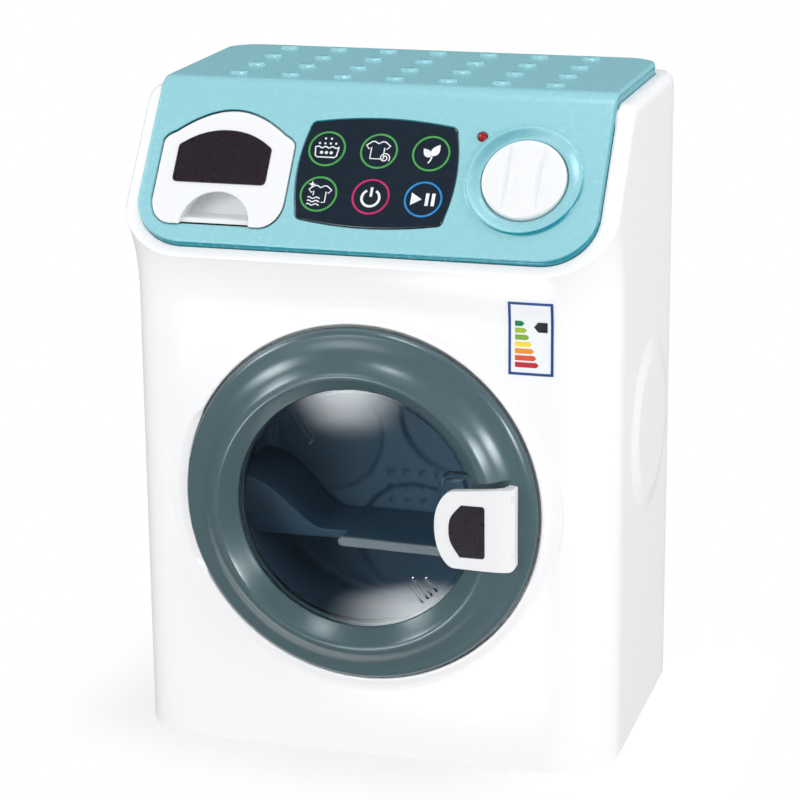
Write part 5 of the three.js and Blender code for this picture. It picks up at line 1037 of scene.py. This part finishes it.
def wash_symbol(place):
    """A basin of suds under falling drops."""
    rim = [(-4.5, 0.5), (-3.2, 0.9), (-1.9, 0.3), (-0.6, 0.9), (0.6, 0.3), (1.9, 0.9), (3.2, 0.3), (4.5, 0.8)]
    basin = [(-4.3, 0.6), (-3.9, -2.7), (-3.2, -3.3), (3.2, -3.3), (3.9, -2.7), (4.3, 0.6)]
    suds = [(x, -1.5, 0.6) for x in (-1.8, 0, 1.8)]
    drops = [(x, 2.1, 0.4) for x in (-3, -1, 1, 3)] + [(x, 4, 0.4) for x in (-1.1, 1.1)]
    lines = [stroke(smooth(rim, 4), place), stroke(basin, place)]
    return lines + [dot(*spot, place) for spot in suds + drops]


def delicate_symbol(place):
    """A shirt with a swirl at its hem."""
    swirl = [(2.4 + r * math.cos(a), -2.5 + r * math.sin(a))
             for a, r in zip(np.linspace(-0.6, 10.6, 34), np.linspace(2.0, 0.25, 34))]
    return [stroke(moved(SHIRT, -0.5, 0.4), place, 0.45, True), stroke(swirl, place, 0.4)]


def leaf(place, x, y, length, width, degrees):
    """A pointed leaf with its stalk at (x, y)."""
    c, s = math.cos(math.radians(degrees)), math.sin(math.radians(degrees))
    edge = [(length * t, width * math.sin(math.pi * t ** 0.8)) for t in np.linspace(0, 1, 12)]
    edge += [(length * t, -width * math.sin(math.pi * t ** 0.8)) for t in np.linspace(1, 0, 12)[1:-1]]
    return fill([(x + a * c - b * s, y + a * s + b * c) for a, b in edge], place)


def leaf_symbol(place):
    stalk = smooth([(-0.6, -3.8), (0.1, -2.6), (0.5, -1.2)], 4)
    leaves = [leaf(place, 0.4, -1, 5.2, 1.5, 62), leaf(place, 0, -1.4, 4.4, 1.3, 132)]
    return leaves + [stroke(stalk, place, 0.5)]


def fresh_symbol(place):
    """A shirt with a spark and a breeze."""
    shirt = moved(SHIRT[8:] + SHIRT[:8], 0.4, 0.1, 0.95)
    parts = [stroke([(-1.9, -0.6), *shirt[1:], (1.4, shirt[-1][1])], place, 0.42)]
    spark = []
    for k in range(8):
        radius = 0.45 if k % 2 else 1.4
        spark.append((-2.9 + radius * math.cos(k * math.pi / 4), 3.7 + radius * math.sin(k * math.pi / 4)))
    parts.append(fill(spark, place))
    for y in (-1.5, -2.8, -4.1):
        wave = [(x, y + 0.3 * math.sin((x + 4) * 2.2)) for x in np.linspace(-3.8, 0.8, 18)]
        parts.append(stroke(wave, place, 0.4))
    return parts


def power_symbol(place):
    arc = [(3.2 * math.sin(a), -0.5 + 3.2 * math.cos(a)) for a in np.linspace(0.55, 2 * math.pi - 0.55, 40)]
    return [stroke(arc, place, 0.9), stroke([(0, 0), (0, 3.6)], place, 0.9)]


def play_symbol(place):
    parts = [fill([(-4.4, -2.4), (-0.5, 0), (-4.4, 2.4)], place)]
    return parts + [fill([(x, -2.4), (x + 1.2, -2.4), (x + 1.2, 2.4), (x, 2.4)], place) for x in (0.8, 3.0)]


def build_symbols():
    symbols = []
    rings = {}
    for i, (symbol, colour) in enumerate((
        (wash_symbol, INK_GREEN), (delicate_symbol, INK_GREEN), (leaf_symbol, INK_GREEN),
        (fresh_symbol, INK_GREEN), (power_symbol, INK_MAGENTA), (play_symbol, INK_BLUE),
    )):
        place = ink_on((RING_COLUMNS[i % 3], RING_ROWS[i // 3]))
        symbols += symbol(place)
        rings.setdefault(colour, []).append(stroke(circle(0, 0, RING_RADIUS, 72), place, RING_LINE, True))
    piece(joined(*symbols), "symbol_ink", "casing", INK_WHITE)
    for colour, parts in rings.items():
        piece(joined(*parts), "ring_" + colour.name.split()[0], "casing", colour)


# Detergent drawer

def scoop_loop(grow, low_extra):
    low = FOOT_Z + DRAWER_LOW * math.cos(TILT)
    outline = Outline(DRAWER_X - SCOOP_RADIUS - grow, low - low_extra)
    outline.line(DRAWER_X + SCOOP_RADIUS + grow, low - low_extra)
    outline.arc(DRAWER_X, low, SCOOP_RADIUS + grow, 0, 180, 32, tall=SCOOP_RADIUS * math.cos(TILT) + grow)
    return outline.loop()


def build_drawer():
    front = prism(drawer_outline(), soft_edge(-2, DRAWER_PROUD, 0.45), along_drawer)
    back = -SCOOP_DEPTH
    depths = [(back, -0.4), (back + 0.5, 0), (-0.1, 0), (0.6, 0.5), (3, 0.5)]
    hollow = prism(scoop_loop(0, 2), depths, along_drawer)
    cup = prism(scoop_loop(1.4, 0), [(back - 1.4, 0), (-0.5, 0)], along_drawer)
    whole = carved(carved(front, cup, operation="UNION"), hollow)
    low = FOOT_Z + DRAWER_LOW * math.cos(TILT)
    left, right = DRAWER_X - 14, DRAWER_X + 14
    shelf = np.array([(left, low), (right, low), (right, low + 1.4), (left, low + 1.4)])
    floor = prism(shelf, [(back - 1, 0), (-2.2, 0)], along_drawer)
    piece(joined(whole, floor), "drawer_face", "drawer", TRIM, ["drawer_front"])

    left, right, low, shoulder, top = DRAWER_STICKER
    middle = (left + right) / 2
    outline = Outline(left + 2, low).line(right - 2, low).curve((right, low), (right, low + 2), steps=5)
    outline.line(right, shoulder - 2).curve((right, shoulder - 0.6), (right - 1.4, shoulder), steps=5)
    outline.curve((middle + 9, top), (middle, top)).curve((middle - 9, top), (left + 1.4, shoulder))
    outline.curve((left, shoulder - 0.6), (left, shoulder - 2), steps=5).line(left, low + 2)
    outline.curve((left, low), (left + 2, low), steps=5)
    sticker = prism(outline.loop(), soft_edge(DRAWER_PROUD - 0.1, DRAWER_PROUD + 0.3, 0.12, 3), on_panel)
    piece(sticker, "drawer_sticker", "drawer", PLUM, ["drawer_label"])


# Door

def build_door():
    outside = smooth([
        (65.3, 1.6), (65.35, 2.6), (65.0, 4.1), (63.6, 5.6), (61.2, 6.6), (58.6, 8.0), (56.2, 10.0),
        (54.2, 12.2), (52.3, 14.0), (50.8, 14.8), (50.0, 14.75), (49.2, 14.1), (47.4, 11.9), (45.6, 9.6),
        (WINDOW_RADIUS, 8.1),
    ], 5)
    inside = [(WINDOW_RADIUS, 6.5), (49.5, 6.5), (50.5, 4), (62.4, 4), (63.3, 3), (63.3, 1.6)]
    ring = turned([*outside, *inside], on_door, segments=192)
    room = rounded_rectangle(38, HANDLE_RIGHT + 0.5, -16.7, 15.6, 1.2, 5)
    carved(ring, prism(room, [(POCKET_FLOOR, 0), (30, 0)], on_door), hinge_notch())
    piece(ring, "door_moulding", "door", SLATE, ["door_ring"])

    outer, inner = BACK_RADIUS, BACK_INSIDE
    rim = [(outer - 0.3, 1.7), (outer, 2), (outer, 3.3), (50.4, 3.6), (50.4, 4.1)]
    back = turned([(inner, 1.7), *rim, (inner, 4.1)], on_door, segments=160)
    carved(back, box(28, 46, FRONT - 10, FRONT, DOOR_Z - 17, DOOR_Z + 17), hinge_notch())
    low, high = DOOR_Z - KNUCKLE_HALF, DOOR_Z + KNUCKLE_HALF
    knuckle = upright(circle(HINGE_X, HINGE_Y, BARREL_RADIUS, 24), low, high)
    arm = box(HINGE_X, HINGE_X + 6.4, FRONT - 3.6, FRONT - 1.7, low, high)
    edge = math.sqrt(OPENING_RADIUS ** 2 - 25) - GAP
    section = [(edge - 3, -2.3), (edge - 3, 3.4), (edge - 1.6, 4.4), (edge - 0.5, 3.8), (edge, 2.6),
               (edge - 0.8, 1.4), (edge - 1.2, -2.3)]
    tongue = upright([(x, FRONT + y) for x, y in section], DOOR_Z - 5, DOOR_Z + 5)
    piece(joined(back, knuckle, arm, tongue), "door_back", "door", SLATE, ["door_back_ring"])


def window_rib(degrees, inner):
    """A short U-shaped rib on the inside of the window, its round end towards the middle."""
    angle = math.radians(degrees)
    half = 1.3
    outer = 41

    def place(along, across, forward):
        return on_door(along * math.cos(angle) - across * math.sin(angle),
                       along * math.sin(angle) + across * math.cos(angle), forward)
    end = inner + half
    bend = [(end - half * math.sin(a), -half * math.cos(a)) for a in np.linspace(0.3, math.pi - 0.3, 7)]
    path = [(outer, -half), (end, -half), *bend, (end, half), (outer, half)]
    return bar(path, 0.8, 5.4, 8.2, place)


def build_window():
    """A dome with a flange, whose finger recess is a cup with its room cut out."""
    face = smooth([(0, 10.6), (10, 10.45), (20, 10.05), (30, 9.3), (38, 8.4), (DOME_RADIUS, 7.6)], 4)
    inside = smooth([(DOME_INSIDE, 6.2), (36, 7.0), (28, 7.7), (18, 8.3), (9, 8.65), (0, 8.8)], 4)
    flange = [(DOME_RADIUS, 6.2), (FLANGE_RADIUS, 6.2), (FLANGE_RADIUS, 4.4), (DOME_INSIDE, 4.4)]
    dome = turned([*face, *flange, *inside], on_door, segments=128)
    lid = turned([*face, (DOME_RADIUS, 1), (0, 1)], on_door, segments=128)
    cup = prism(rounded_rectangle(*FINGER_CUP, 3), [(1.4, 0), (14, 0)], on_door)
    carved(cup, lid, operation="INTERSECT")
    room = prism(rounded_rectangle(*FINGER_ROOM, 2), [(2.8, 0), (14, 0)], on_door)
    bore = turned([(0, 14), (41.6, 14), (41.6, 1), (0, 1)], on_door, segments=128)
    carved(room, bore, operation="INTERSECT")
    carved(dome, cup, operation="UNION")
    for degrees, inner in ((124, 28.6), (-51.5, 31.6), (-45, 34.6)):
        carved(dome, window_rib(degrees, inner), operation="UNION")
    carved(dome, room)
    piece(dome, "window_dome", "door", CLEAR, ["door_window"])


def handle_plan():
    """The handle from the front: a bulging left end, and upper and lower edges that spread to the right."""
    left, right = HANDLE_LEFT, HANDLE_RIGHT
    outline = Outline(left + 7.2, -15.6).line(53, -16).line(right - 1.6, -16.3)
    outline.curve((right, -16.3), (right, -14.9), steps=6).line(right, 12.7)
    outline.curve((right, 13.5), (right - 0.8, 13.6), steps=4).line(54, 14).line(left + 7, 12.6)
    outline.curve((left + 3.3, 12.2), (left, 5.6), (left, -0.8), steps=16)
    outline.curve((left, -7.4), (left + 3.5, -15.2), (left + 7.2, -15.6), steps=16)
    return outline.loop()


def build_handle():
    top = HANDLE_FACE
    left, right = HANDLE_LEFT, HANDLE_RIGHT
    outer = smooth([
        (left - 0.3, top - 1.2), (left + 0.8, top - 0.35), (left + 3.2, top), (44, top + 0.1), (50, top),
        (53.4, top - 0.35), (56.4, top - 1.3), (58.6, top - 3), (right + 0.2, top - 5.4),
    ], 5)
    inner = smooth([
        (right - 3.1, 10), (right - 4, 12), (right - 6, 13.3), (right - 9, 13.6), (left + 3, 13.6),
        (left - 0.3, 13.7),
    ], 4)
    section = [*outer, (right, 7.9), (right - 3, 7.9), *inner]
    grip = stack([[on_door(x, z, f) for x, f in section] for z in (-18, 18)])
    carved(grip, prism(handle_plan(), [(2, 0), (30, 0)], on_door), operation="INTERSECT")
    bevelled(grip, 0.55, 50)
    post = [(0, 3.9), (2.8, 3.9), (2.8, 13.8), (0, 13.8)]
    posts = [turned(post, on_door, 56.2, z, 32) for z in (-10.5, 10.5)]
    piece(joined(grip, *posts), "handle_grip", "door", TRIM, ["door_handle"])

    x0, x1, low, high = HANDLE_STICKER
    middle = (low + high) / 2
    outline = Outline(x0 + 4, low).line(x1 - 1.2, low).curve((x1, low), (x1, low + 1.2), steps=5)
    outline.line(x1, high - 1.2).curve((x1, high), (x1 - 1.2, high), steps=5).line(x0 + 4.6, high)
    outline.curve((x0 + 1.4, high - 3.4), (x0, middle + 5), (x0, middle + 0.4))
    outline.curve((x0, middle - 4.6), (x0 + 1.4, low + 4), (x0 + 4, low))
    sticker = prism(outline.loop(), soft_edge(top - 0.2, top + 0.22, 0.1, 3), on_door)
    piece(sticker, "handle_sticker", "door", PLUM, ["handle_label"])


# Drum

def on_drum_floor(x, z, level):
    """A point of the drum's floor, sunk in three dished fields and the dimples."""
    sunk = 0.0
    for i in range(3):
        angle = math.radians(DISH_ANGLE + 120 * i)
        away = math.hypot(x - DISH_OFFSET * math.cos(angle), z - DISH_OFFSET * math.sin(angle))
        t = min(max((DISH_RADIUS - away) / 2.6, 0), 1)
        sunk = max(sunk, 1.8 * t * t * (3 - 2 * t))
    for across, height, radius in DIMPLES:
        away = math.hypot(x - across, z - height)
        if away < radius:
            sunk += 0.9 * (1 - (away / radius) ** 2)
    return on_door(x, z, level - sunk)


def build_drum():
    inner = DRUM_RADIUS - DRUM_WALL
    floor = -DRUM_FLOOR
    cup = turned([
        (inner - 2.6, floor - 0.5),
        *smooth([(inner - 2.6, floor + 0.1), (inner - 0.9, floor + 0.9), (inner, floor + 2.6)], 4),
        (inner, -DRUM_MOUTH - 1),
        (inner - 1, -DRUM_MOUTH - 0.2),
        (inner - 0.6, -DRUM_MOUTH),
        (DRUM_RADIUS, -DRUM_MOUTH),
        (DRUM_RADIUS, floor - 3.6),
        (inner - 2.6, floor - 3.6),
    ], on_door, segments=144)
    edge = inner - 1.8
    rings = [(edge * r / 96, floor) for r in range(97)]
    dished = turned(rings, on_drum_floor, segments=240, sheet=True)
    hub = turned([(0, floor - 4.4), (7, floor - 4.4), (7, floor - 2.4), (0, floor - 2.4)], on_door)
    piece(joined(cup, dished, hub), "drum_shell", "drum_assembly", DRUM, ["drum"])


def build_paddle():
    """A shelf with a lip across the drum, whose left end sweeps up to the drum's wall, painted darker on its
    blade for shade and paler on its lip for light.
    """
    r = PADDLE_RADIUS
    right = math.sqrt(r ** 2 - PADDLE_LOW ** 2)
    corner = math.degrees(math.atan2(PADDLE_LOW, -right)) + 360
    tip = r * math.sin(math.radians(PADDLE_TIP))
    wall = r * math.cos(math.radians(PADDLE_TIP))
    outline = Outline(GUSSET_END, PADDLE_TOP).line(-0.38 * r, PADDLE_TOP)
    outline.curve((-0.55 * r, PADDLE_TOP), (-0.69 * r, tip), (wall, tip), steps=24)
    outline.arc(0, 0, r, PADDLE_TIP, corner, 10).line(GUSSET_END, PADDLE_LOW)

    def slanted(x, z, level):
        face = PADDLE_FRONT + 0.6 + 0.3 * (tip - z)
        return on_door(x, z, -PADDLE_BACK if level == 0 else -face + level - 1)
    gusset = prism(outline.loop(), [(0, 0), (0.4, 0), (0.8, -0.12), (1, -0.4)], slanted)
    shelf = np.array([(GUSSET_END, PADDLE_LOW), (right, PADDLE_LOW - 0.6), (right, PADDLE_TOP - 0.9),
                      (GUSSET_END, PADDLE_TOP)])
    rest = prism(shelf, [(-PADDLE_BACK, -0.05), (-PADDLE_FRONT - 1, -0.05)], on_door)
    # Painted shade: the blade takes the drum's plastic painted darker.
    piece(joined(gusset, rest), "paddle_blade", "drum_assembly", DRUM_PAINTED_SHADE, ["drum_paddle"])

    lip = Outline(GUSSET_END, PADDLE_LOW).line(right, PADDLE_LOW - 0.9).line(right, PADDLE_TOP - 1.2)
    nose = GUSSET_END - 2.4
    lip.line(GUSSET_END, PADDLE_TOP)
    lip.curve((nose, PADDLE_TOP), (nose, PADDLE_LOW), (GUSSET_END, PADDLE_LOW), steps=10)
    strip = prism(lip.loop(), soft_edge(-PADDLE_FRONT - 1.2, -PADDLE_FRONT, 0.4, 3), on_door)
    # Painted light: the lip takes the drum's plastic painted paler.
    piece(strip, "paddle_lip", "drum_assembly", DRUM_PAINTED_LIGHT)


# Screws

def screw_head(x, z, level, place):
    """A pan head with a cross recess, on a short shank."""
    side = [(0, -3), (1.2, -3), (1.2, 0), (2.8, 0), (2.8, 0.5)]
    crown = smooth([(2.65, 0.75), (1.68, 1.05), (0.001, 1.15)], 4)
    head = turned([(r, level + rise) for r, rise in (*side, *crown, (0, 1.15))], place, x, z, segments=36)
    for a, b in ((1.35, 0.3), (0.3, 1.35)):
        slot = np.array([(x - a, z - b), (x + a, z - b), (x + a, z + b), (x - a, z + b)])
        carved(head, prism(slot, [(level + 0.35, -0.1), (level + 2, 0)], place))
    return head


def build_screws():
    for i, (x, z) in enumerate(COVER_SCREWS, 1):
        head = screw_head(x, z, -0.7, on_back)
        piece(head, f"cover_screw_{i}", "casing", SCREW_STEEL, [f"casing_screw_{i}"])


# Energy sticker

def front_band(x0, x1, z0, z1, low, high):
    """A thin rectangle that follows the casing's front face."""
    xs = np.linspace(x0, x1, max(int((x1 - x0) * 1.5), 1) + 1)
    zs = np.linspace(z0, z1, max(int(z1 - z0), 1) + 1)
    return stack([[on_casing_front(x, z, low) for z in zs] + [on_casing_front(x, z, high) for z in zs[::-1]]
                  for x in xs])


def front_ink(loop):
    return prism(np.array(loop, float), [(level, 0) for level in INK_LEVELS], on_casing_front)


def build_energy_sticker():
    x0, x1, z0, z1 = STICKER
    sheet = front_band(x0, x1, z0, z1, 0.02, 0.35)
    piece(sheet, "energy_sticker", "casing", PAPER, ["energy_label"])
    edge = STICKER_EDGE
    bands = ((x0, x1, z1 - edge, z1), (x0, x1, z0, z0 + edge),
             (x0, x0 + edge, z0 + edge, z1 - edge), (x1 - edge, x1, z0 + edge, z1 - edge))
    border = [front_band(*band, *INK_LEVELS) for band in bands]
    piece(joined(*border), "sticker_border", "casing", INK_NAVY)
    for i, (name, colour) in enumerate(RATING_COLOURS.items()):
        top = z1 - 6.9 - ARROW_PITCH * i
        low, middle = top - ARROW_HEIGHT, top - ARROW_HEIGHT / 2
        left, tip = x0 + 2.36, x0 + 5.76 + ARROW_GROWTH * i
        arrow = [(left, low), (tip - 0.95, low), (tip, middle), (tip - 0.95, top), (left, top)]
        piece(front_ink(arrow), f"rating_{name}", "casing", ink(name, colour))
    high, low = z1 - 7.1, z1 - 10.7
    left, right = x0 + 10.6, x0 + 13.9
    tag = [(right, low), (right, high), (left, high), (left - 1.5, (high + low) / 2), (left, low)]
    piece(front_ink(tag), "rating_tag", "casing", INK_BLACK)


# Nodes that the casing hides keep their CAD shape

HIDDEN_FINISHES = [
    (WHITE, ["battery_cover"]),
    (TRIM, ["drawer_tray", "drawer_housing", "gear_plate", "motor_bracket"]),
    (DRUM, ["tub"]),
    (BOARD, ["touch_board", "circuit_board"]),
    (GREY, ["rotary_switch", "loudspeaker"]),
    (ACETAL, ["switch_shaft", "drum_gear", "idler_gear", "reduction_gear"]),
    (BRASS, ["motor_pinion", "front_axle_bush", "rear_axle_bush"]),
    (MOTOR_CAN, ["drum_motor"]),
    (CELL, [f"battery_{i}" for i in (1, 2, 3)]),
    (STEEL, ["hinge_pin", "motor_shaft", "idler_pin", "reduction_pin", "drum_axle"]),
    (STEEL, [f"battery_contact_{i}" for i in (1, 2, 3, 4)]),
    (SCREW_STEEL, ["board_screw_1", "board_screw_2", "battery_screw"]),
    (SCREW_STEEL, [f"door_screw_{i}" for i in (1, 2, 3, 4, 5)]),
]


def paint_hidden_nodes():
    for material, names in HIDDEN_FINISHES:
        for name in names:
            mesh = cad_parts[name].data
            mesh.materials.clear()
            mesh.materials.append(material)


# Floor, light and camera

def arithmetic(operation, socket, *values):
    """The result of a sum or comparison that starts with a socket."""
    return node(socket.id_data, "Math", socket, *values, operation=operation)


def vectors(operation, socket, *values):
    """The result of a sum or measure of vectors that starts with a socket."""
    return node(socket.id_data, "VectorMath", socket, *values, operation=operation)


def share_left(socket):
    """What is left of one after a share from 0 to 1."""
    return node(socket.id_data, "Math", 1, socket, operation="SUBTRACT")


def sight(tree):
    """Whether a ray shows the stage itself, shows its reflection, or gathers light, as three sockets."""
    rays = tree.nodes.new("ShaderNodeLightPath").outputs
    scattered = arithmetic("MINIMUM", rays["Diffuse Depth"], 1)
    mirrored = arithmetic("MINIMUM", rays["Glossy Depth"], 1)
    through = arithmetic("MULTIPLY", rays["Is Transmission Ray"], share_left(scattered))
    clear = arithmetic("MULTIPLY", through, share_left(mirrored))
    direct = arithmetic("MAXIMUM", rays["Is Camera Ray"], clear)
    behind = arithmetic("MULTIPLY", through, mirrored)
    return direct, arithmetic("MAXIMUM", rays["Is Glossy Ray"], behind), rays["Is Diffuse Ray"]


def build_floor():
    """A pale floor that fades to white for the camera, is dim in reflections and lights what is near it."""
    material, tree = new_material("white floor")
    place = object_place(tree)
    grain = node(tree, "TexNoise", Vector=place, Scale=6, Detail=2)
    tint = ramp(tree, grain, (0.96, 0.96, 0.965, 1), (0.99, 0.99, 0.99, 1))
    shader = tree.nodes["Principled BSDF"]
    feed(shader, Base_Color=tint, Roughness=0.9, Specular_IOR_Level=0.1)
    beyond = vectors("SUBTRACT", vectors("ABSOLUTE", place), (HALF_WIDTH * MM, BACK * MM, 0))
    away = vectors("LENGTH", vectors("MAXIMUM", beyond, (0, 0, 0)))
    fade = node(tree, "MapRange", away, 0, FLOOR_FADE * MM, interpolation_type="SMOOTHSTEP")
    direct, reflected, scattered = sight(tree)
    dim = arithmetic("MULTIPLY", reflected, ROOM_GLOSS)
    bounce = arithmetic("MULTIPLY", scattered, FLOOR_BOUNCE)
    strength = arithmetic("MAXIMUM", direct, arithmetic("MAXIMUM", dim, bounce))
    glow = node(tree, "Emission", Strength=strength)
    far = arithmetic("MULTIPLY", fade, direct)
    share = arithmetic("MAXIMUM", far, arithmetic("MAXIMUM", reflected, scattered))
    feed(tree.nodes["Material Output"], node(tree, "MixShader", share, shader.outputs["BSDF"], glow))
    floor = box(-FLOOR_HALF, FLOOR_HALF, -FLOOR_HALF, FLOOR_HALF, -4, 0)
    floor.name = "floor"
    floor.data.materials.append(material)


def build_world():
    """Soft light from all round, white behind the object and dim in reflections."""
    world = bpy.data.worlds.new("studio")
    bpy.context.scene.world = world
    world.use_nodes = True
    tree = world.node_tree
    ambient = tree.nodes["Background"]
    feed(ambient, (0.97, 0.98, 1, 1), AMBIENT)
    direct, reflected, _ = sight(tree)
    dim = arithmetic("MULTIPLY", reflected, ROOM_GLOSS)
    seen = node(tree, "Background", (1, 1, 1, 1), arithmetic("MAXIMUM", direct, dim))
    share = arithmetic("MAXIMUM", direct, reflected)
    mixed = node(tree, "MixShader", share, ambient.outputs["Background"], seen)
    feed(tree.nodes["World Output"], mixed)


def build_glow_card(name, middle, across, along, strength):
    """A soft round glow that only reflections see, spread over a card by its two half sizes."""
    material, tree = new_material(name)
    tree.nodes.remove(tree.nodes["Principled BSDF"])
    offset = vectors("SUBTRACT", object_place(tree), Vector(middle) * MM)
    size = [(a + b or 1000) * MM for a, b in zip(across, along)]
    away = vectors("LENGTH", vectors("DIVIDE", offset, size))
    fade = node(tree, "MapRange", away, 0, 1, strength, 0, interpolation_type="SMOOTHSTEP")
    glow = node(tree, "Emission", (0.93, 0.98, 1, 1), fade)
    feed(tree.nodes["Material Output"], node(tree, "AddShader", glow, node(tree, "BsdfTransparent")))
    m, u, v = Vector(middle), Vector(across), Vector(along)
    card = mesh_from([m - u - v, m + u - v, m + u + v, m - u + v], [(0, 1, 2, 3)])
    card.name = name
    card.data.materials.append(material)
    card.visible_camera = False
    card.visible_diffuse = False
    card.visible_transmission = False
    card.visible_shadow = False


def build_stage():
    build_floor()
    build_world()
    for name, card in GLOW_CARDS.items():
        build_glow_card(name, *card)


def area_light(name, place, width, height, power):
    """A light aimed at the object that doesn't show in reflections."""
    lamp = bpy.data.lights.new(name, "AREA")
    lamp.shape = "RECTANGLE"
    lamp.size = width * MM
    lamp.size_y = height * MM
    lamp.energy = power
    thing = bpy.data.objects.new(name, lamp)
    bpy.context.scene.collection.objects.link(thing)
    thing.location = Vector(place) * MM
    thing.rotation_euler = (Vector(LIGHT_AIM) * MM - thing.location).to_track_quat("-Z", "Y").to_euler()
    thing.visible_glossy = False


def build_lights():
    for name, light in LIGHTS.items():
        area_light(name, *light)


def build_camera():
    azimuth, elevation, roll = (math.radians(angle) for angle in VIEW_ANGLES)
    back = Vector((math.sin(azimuth) * math.cos(elevation), -math.cos(azimuth) * math.cos(elevation),
                   math.sin(elevation)))
    right = Vector((math.cos(azimuth), math.sin(azimuth), 0))
    up = back.cross(right)
    across = right * math.cos(roll) + up * math.sin(roll)
    upright_axis = up * math.cos(roll) - right * math.sin(roll)
    data = bpy.data.cameras.new("camera")
    data.lens = LENS
    data.sensor_width = SENSOR
    camera = bpy.data.objects.new("camera", data)
    bpy.context.scene.collection.objects.link(camera)
    turn = Matrix((across, upright_axis, back)).transposed().to_4x4()
    camera.matrix_world = Matrix.Translation(Vector(VIEW_TARGET) * MM + back * VIEW_DISTANCE * MM) @ turn
    bpy.context.scene.camera = camera


build_camera()
paint_hidden_nodes()
build_casing()
build_panel()
build_overlay()
build_symbols()
build_knob()
build_lamp()
build_drawer()
build_door()
build_window()
build_handle()
build_drum()
build_paddle()
build_screws()
build_energy_sticker()
build_stage()
build_lights()
bpy.context.scene.view_settings.view_transform = "Standard"
